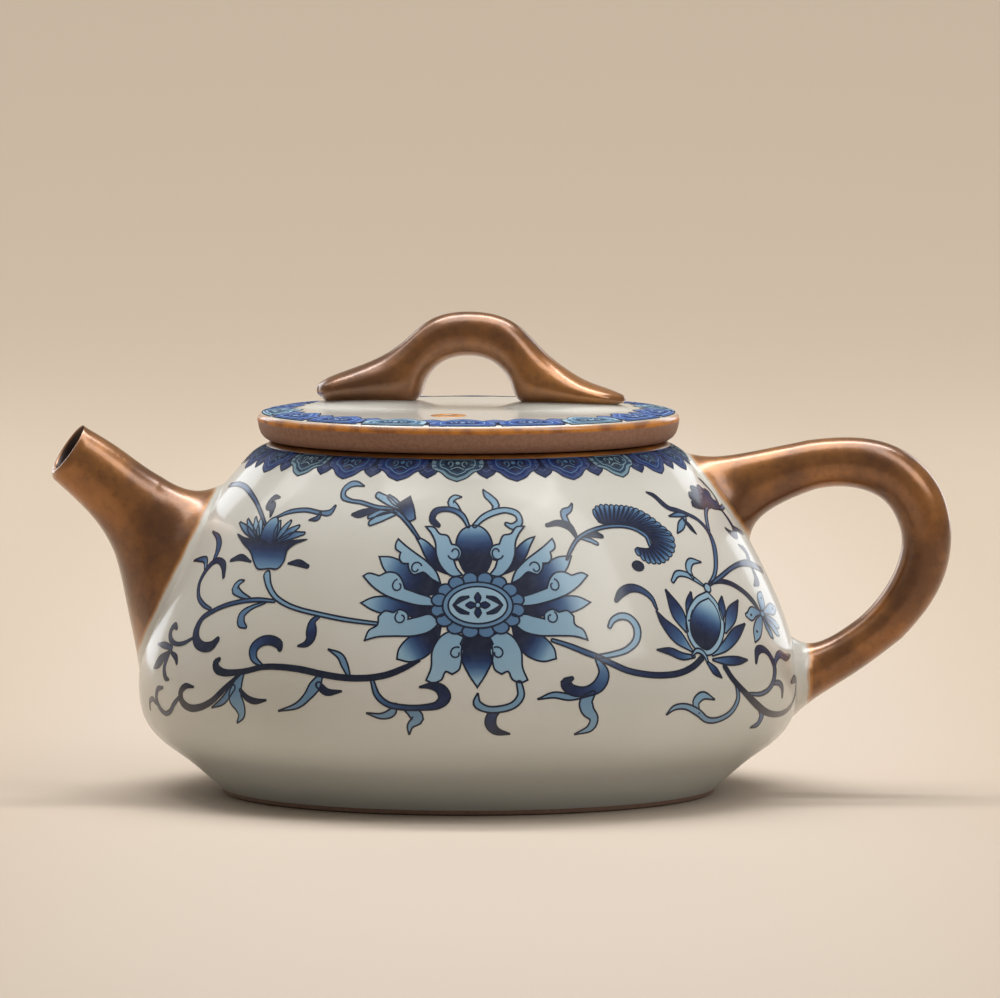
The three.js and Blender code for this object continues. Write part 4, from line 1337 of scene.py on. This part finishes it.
class Finish:
    """A material being built."""

    def __init__(self, name, **settings):
        self.material = bpy.data.materials.new(name)
        self.material.use_nodes = True
        self.tree = self.material.node_tree
        self.surface = self.tree.nodes["Principled BSDF"]
        for key, value in settings.items():
            self.surface.inputs[key.replace("_", " ")].default_value = value
        self.place = self.add("ShaderNodeTexCoord", "Object")

    def add(self, kind, out=0, setup=None, **inputs):
        """A node: its settings first, then values or wires for its sockets, by name or as _number."""
        node = self.tree.nodes.new(kind)
        for key, value in (setup or {}).items():
            setattr(node, key, value)
        for key, value in inputs.items():
            slot = node.inputs[int(key[1:])] if key[0] == "_" else node.inputs[key.replace("_", " ")]
            if isinstance(value, Wire):
                self.tree.links.new(value.socket, slot)
            else:
                slot.default_value = value
        return Wire(self.tree, node.outputs[out])

    def noise(self, scale, detail=3.0, rough=0.5):
        """Noise from 0 to 1 over the piece; a larger scale gives smaller patches."""
        return self.add(
            "ShaderNodeTexNoise", "Fac", Vector=self.place, Scale=scale, Detail=detail, Roughness=rough
        )

    def blend(self, amount, first, second):
        """Two colours mixed; each is a Wire or an (r, g, b) from 0 to 255."""
        ends = [c if isinstance(c, Wire) else (*linear(np.array(c) / 255), 1) for c in (first, second)]
        return self.add("ShaderNodeMix", 2, {"data_type": "RGBA"}, _0=amount, _6=ends[0], _7=ends[1])

    def axis(self, which):
        """The place along X, Y or Z, in metres."""
        return self.add("ShaderNodeSeparateXYZ", which, Vector=self.place)

    def named(self, name, out="Fac"):
        """A value or colour that is kept at the mesh's points."""
        return self.add("ShaderNodeAttribute", out, {"attribute_name": name})

    def set(self, **wires):
        """Link wires to the surface's own sockets."""
        for key, wire in wires.items():
            self.tree.links.new(wire.socket, self.surface.inputs[key.replace("_", " ")])
        return self

    def bump(self, height, distance):
        """Small unevenness, distance metres deep."""
        return self.set(
            Normal=self.add("ShaderNodeBump", "Normal", Height=height, Distance=distance, Strength=1.0)
        )


# %% [markdown]
# ## Cream glaze and blue
# The cream is a thick clear glaze over pale clay: a soft surface under a smoother coat, warm white with
# faint clouds and specks. The painting takes its colours from its strokes and has the same gloss. The
# borders are drier, so that their many small heads don't glitter.

# %% Cream glaze and blue
GLOSS = dict(
    Roughness=0.36, IOR=1.5, Specular_IOR_Level=0.3, Coat_Weight=0.6, Coat_Roughness=0.11, Coat_IOR=1.5
)
SPECK = (150, 160, 170)  # pale grains in the blue


def cream(finish):
    """The cream glaze: warm white with faint clouding and a few darker specks."""
    cloud = finish.noise(38, 3)
    speck = finish.noise(900, 2, 0.7)
    tint = finish.blend(cloud.ramp(0.35, 0.7), (211, 208, 199), (203, 200, 189))
    return finish.blend(speck.ramp(0.62, 0.8) * 0.25, tint, (196, 190, 172))


def inked(finish, specks):
    """The colours of the strokes, with a few fine pale specks."""
    grains = finish.noise(700, 3).ramp(0.3, 0.8) * specks
    return finish.blend(grains, finish.named("ink", "Color"), SPECK)


clay = Finish("cream glaze", **GLOSS)
above_painted_bounce = clay.axis("Z").ramp(0.0, 0.026)  # painted light: near the floor the glaze is tinted greener and greyer, against the warm light that the floor bounces onto the low belly
tone = clay.blend(1.0 - above_painted_bounce, cream(clay), (200, 206, 202))
clay.set(Base_Color=tone).bump(clay.noise(55, 2), 0.00012)

painted = Finish("underglaze blue", **GLOSS)
painted.set(Base_Color=inked(painted, 0.04))

enamel = Finish("blue enamel on the borders", Roughness=0.5, IOR=1.35, Specular_IOR_Level=0.25)
enamel.set(Base_Color=inked(enamel, 0.1))

# %% [markdown]
# ## Brown glazes
# The spout, the handle and the knob wear a brown lustre: russet with darker iron streaks, half metallic,
# and amber where it thins out to the cream at their roots. The place of that edge comes from the points,
# and noise lets it wander. The collar and the ring of the vent have plainer ones. The inside of the spout
# has a plain brown painted darker, as painted shade in the bore.

# %% Brown glazes


def brown(finish):
    """The brown lustre: russet, streaked with a darker iron glaze and worn lighter in soft patches."""
    streak = finish.noise(60, 4, 0.6)
    fine = finish.noise(640, 4, 0.7)
    tint = finish.blend(streak.ramp(0.34, 0.66), (168, 108, 46), (108, 64, 24))
    return finish.blend(fine.ramp(0.45, 0.75) * 0.35, tint, (64, 35, 11))


lustre = Finish(
    "brown lustre and cream root",
    Roughness=0.31, Coat_Weight=0.8, IOR=1.5, Coat_IOR=1.55, Coat_Roughness=0.2,
)
wander = lustre.noise(300, 3) * 0.9
past = lustre.named("past_edge") + wander - 0.45
creamy = past.ramp(-0.12, 0.12)
amber = 1.0 - (past * past).ramp(0.01, 0.4)
tone = lustre.blend(creamy, brown(lustre), cream(lustre))
tone = lustre.blend(amber * 0.7, tone, (186, 126, 58))
lustre.set(Base_Color=tone, Metallic=(1.0 - creamy) * 0.5).bump(lustre.noise(260, 3, 0.6), 0.00012)

ring_glaze = Finish("brown collar glaze", IOR=1.5, Roughness=0.4, Coat_Weight=0.4, Coat_Roughness=0.2)
ring_glaze.set(Base_Color=brown(ring_glaze)).bump(ring_glaze.noise(260, 3), 0.0001)

# Painted shade: inside the spout the brown is painted darker and duller, for the shade in the bore.
bore_shade_glaze = Finish("brown glaze darkened as painted shade in the spout", Roughness=0.5)
patches = bore_shade_glaze.noise(300, 3).ramp(0.3, 0.7)
bore_shade_glaze.set(Base_Color=bore_shade_glaze.blend(patches, (62, 38, 22), (44, 26, 15)))

amber_glaze = Finish("amber glaze", **GLOSS)
patches = amber_glaze.noise(500, 2).ramp(0.3, 0.7)
amber_glaze.set(Base_Color=amber_glaze.blend(patches, (206, 138, 52), (160, 92, 28)))

# %% [markdown]
# ## Bare clay and the lid
# The foot and the flange are left bare, as the pot would stick to the kiln shelf otherwise. The lid has
# three finishes on one piece: glaze above, bare clay round the rim and a burnt amber line between them. All
# three are placed by height.

# %% Bare clay and the lid
bare = Finish("bare clay", Roughness=0.62, IOR=1.45)
grain = bare.noise(1500, 4, 0.7)
bare.set(Base_Color=bare.blend(grain.ramp(0.3, 0.7), (152, 124, 108), (134, 106, 92))).bump(grain, 0.00005)

rim = Finish("lid glaze and bare rim", IOR=1.5, Specular_IOR_Level=0.3, Coat_IOR=1.5, Coat_Roughness=0.14)
EDGE = 0.0626  # height at which the lid's glaze ends, in metres
height = rim.axis("Z") + (rim.noise(160, 3) - 0.5) * 0.0003
glazed = height.ramp(EDGE - 0.0001, EDGE + 0.0001)
line = 1.0 - ((height - EDGE) * (height - EDGE) * 1.0e7).ramp(0.8, 5.0)
grain = rim.noise(1500, 4, 0.7)
matt = rim.blend(grain.ramp(0.3, 0.7), (160, 122, 100), (142, 104, 84))
tone = rim.blend(glazed, matt, cream(rim))
burnt = rim.blend(rim.noise(260, 3).ramp(0.4, 0.65), (206, 130, 42), (150, 88, 38))
tone = rim.blend(line * 0.9, tone, burnt)
rim.set(Base_Color=tone, Coat_Weight=glazed * 0.8, Roughness=0.6 - glazed * 0.3).bump(grain, 0.00003)

# %% [markdown]
# ## Finishes on the pieces
# Each piece gets its finish. The spout gets a second one for the faces of its bore, and the paintings are
# made here, since a painting needs its finish as it is closed. The back carries the front's design, turned
# half round the pot.

# %% Put the finishes on
for thing, finish in (
    (body, clay), (strainer, clay), (foot, bare), (collar, ring_glaze), (spout, lustre), (handle, lustre),
    (lid, rim), (flange, bare), (vent_ring, amber_glaze), (knob, lustre), (pads[0], clay), (pads[1], clay),
):
    thing.data.materials.clear()
    thing.data.materials.append(finish.material)

spout.data.materials.append(bore_shade_glaze.material)
for face in spout.data.polygons[: (len(bore_rings) - 1) * SIDES]:
    face.material_index = 1
print("materials:", len(bpy.data.materials))

# %% Paint
front = Painting("painting_front", on_side)
design(front)
front_art = front.finish(painted.material)
back = Painting("painting_back", on_side, shift=math.pi * MEASURE)
design(back)
back_art = back.finish(painted.material)
band = Painting("shoulder_border", on_shoulder, flip=True)
# The shoulder border's darker colours and dark bands are painted shade under the lid's rim.
border(band, SHADED_SHOULDER_INKS, count=24, first=-2.4, across=1.0, deep=1.0, bands=(0.3, 1.2, 2.1))
band_art = band.finish(enamel.material)
lid_band = Painting("lid_border", on_lid)
# The lid border's paler colours are a painted sheen.
border(lid_band, SHEEN_LID_INKS, count=18, first=-18.8, across=1.34, deep=1.15, bands=(0.5, 1.4, 2.3))
lid_art = lid_band.finish(enamel.material)

# %% [markdown]
# ## What replaces what, and what moves
# Nine of the pieces stand for the nine solids of the drawing and replace them. The others carry only colour
# or glaze. All that is on the lid rides on it when it is lifted.

# %% Who moves with what
for thing, node, slot_name, carrier in (
    (body, "body", "cream_glaze", "pot"),
    (foot, "foot_ring", "bare_clay", "pot"),
    (collar, "mouth_collar", "brown_glaze", "pot"),
    (spout, "spout", "brown_glaze", "pot"),
    (strainer, "strainer", "cream_glaze", "pot"),
    (handle, "handle", "brown_glaze", "pot"),
    (lid, "lid_plate", "cream_glaze", "lid"),
    (flange, "lid_flange", "bare_clay", "lid"),
    (knob, "lid_knob", "brown_glaze", "lid"),
    (front_art, None, "blue_ink", "pot"),
    (back_art, None, "blue_ink", "pot"),
    (band_art, None, "blue_ink", "pot"),
    (lid_art, None, "blue_ink", "lid"),
    (vent_ring, None, "amber_edge", "lid"),
    (pads[0], None, "cream_glaze", "lid"),
    (pads[1], None, "cream_glaze", "lid"),
):
    if node:
        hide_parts(node)
    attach(thing, carrier)

# %% [markdown]
# ## Floor and backdrop
# The pot stands on a sheet of warm paper that sweeps up behind it, so no horizon shows. The sheet is flat,
# then a quarter circle. Its colour is painted a little darker and warmer away from the pot, a painted
# falloff of the light round it.

# %% Floor and backdrop
sweep = [(-3, 0), (0.9, 0)]
sweep += [(0.9 + 3 * math.sin(a), 3 - 3 * math.cos(a)) for a in np.linspace(0, math.pi / 2, 48)[1:]]
points = [(x, y, z) for y, z in sweep for x in (-4, 4)]
faces = [(2 * i, 2 * i + 1, 2 * i + 3, 2 * i + 2) for i in range(len(sweep) - 1)]
data = bpy.data.meshes.new("backdrop")
data.from_pydata(points, [], faces)
data.shade_smooth()
backdrop = bpy.data.objects.new("backdrop", data)
bpy.context.scene.collection.objects.link(backdrop)
paper = Finish("backdrop paper", Roughness=0.9, IOR=1.3)
across, deep = paper.axis("X"), paper.axis("Y")
# Painted falloff of the light: the paper is painted darker and warmer away from the pot.
away = (across * across * 100 + deep * deep * 0.8).ramp(0.0, 1.2)
paper.set(Base_Color=paper.blend(away, (196, 182, 167), (184, 168, 149)))
data.materials.append(paper.material)


# %% [markdown]
# ## Light
# One wide softbox overhead gives the broad sheen on the shoulder and the soft shadow. Weaker boxes at the
# sides draw the long highlights on the spout and handle, two cool ones behind pick out the edges, and one
# lamp above and behind is aimed at the backdrop. The world adds a little even light.

# %% Lamps


def softbox(name, place, aim, size, power, tint=(1, 1, 1)):
    """A rectangular lamp that faces the point it is aimed at."""
    lamp = bpy.data.lights.new(name, "AREA")
    lamp.shape, lamp.size, lamp.size_y = "RECTANGLE", size[0], size[1]
    lamp.energy, lamp.color = power, tint
    thing = bpy.data.objects.new(name, lamp)
    thing.location = place
    thing.rotation_euler = (Vector(aim) - Vector(place)).to_track_quat("-Z", "Y").to_euler()
    bpy.context.scene.collection.objects.link(thing)
    return thing


softbox("top", (0, 0.14, 1.25), (0, 0, 0.05), (1.15, 0.9), 11.6)
softbox("left", (-0.62, 0.02, 0.95), (0, 0, 0.05), (1.2, 0.5), 0.8)
softbox("left strip", (-0.7, 0.45, 0.85), (0, 0, 0.05), (0.2, 0.6), 0.8)
softbox("right", (0.66, -0.42, 0.8), (0, 0, 0.04), (0.4, 0.9), 3.6)
softbox("left edge", (-0.5, 0.85, 0.25), (0, 0, 0.04), (0.3, 0.5), 0.9, (0.86, 0.93, 1))
softbox("right edge", (0.5, 0.85, 0.25), (0, 0, 0.04), (0.3, 0.5), 0.9, (0.86, 0.93, 1))
softbox("backdrop light", (0, 0.9, 2.2), (0, 2.3, 0.2), (2.5, 0.6), 46)

world = bpy.data.worlds.new("studio")
world.use_nodes = True
world.node_tree.nodes["Background"].inputs["Color"].default_value = (0.8, 0.78, 0.76, 1)
world.node_tree.nodes["Background"].inputs["Strength"].default_value = 0.32
bpy.context.scene.world = world
bpy.context.scene.view_settings.view_transform = "Standard"

# %% [markdown]
# ## Camera
# A long lens from nearly two metres away keeps the pot's outline flat, as in a catalogue, and the camera
# stands just high enough to see the top of the lid.

# %% Camera
camera_data = bpy.data.cameras.new("camera")
camera = bpy.data.objects.new("camera", camera_data)
camera.location = (-0.0004, -1.9, 0.196)
target = Vector((-0.0004, 0, 0.0488))
camera.rotation_euler = (target - camera.location).to_track_quat("-Z", "Y").to_euler()
camera_data.lens = 411.6
camera_data.clip_end = 20
bpy.context.scene.collection.objects.link(camera)
bpy.context.scene.camera = camera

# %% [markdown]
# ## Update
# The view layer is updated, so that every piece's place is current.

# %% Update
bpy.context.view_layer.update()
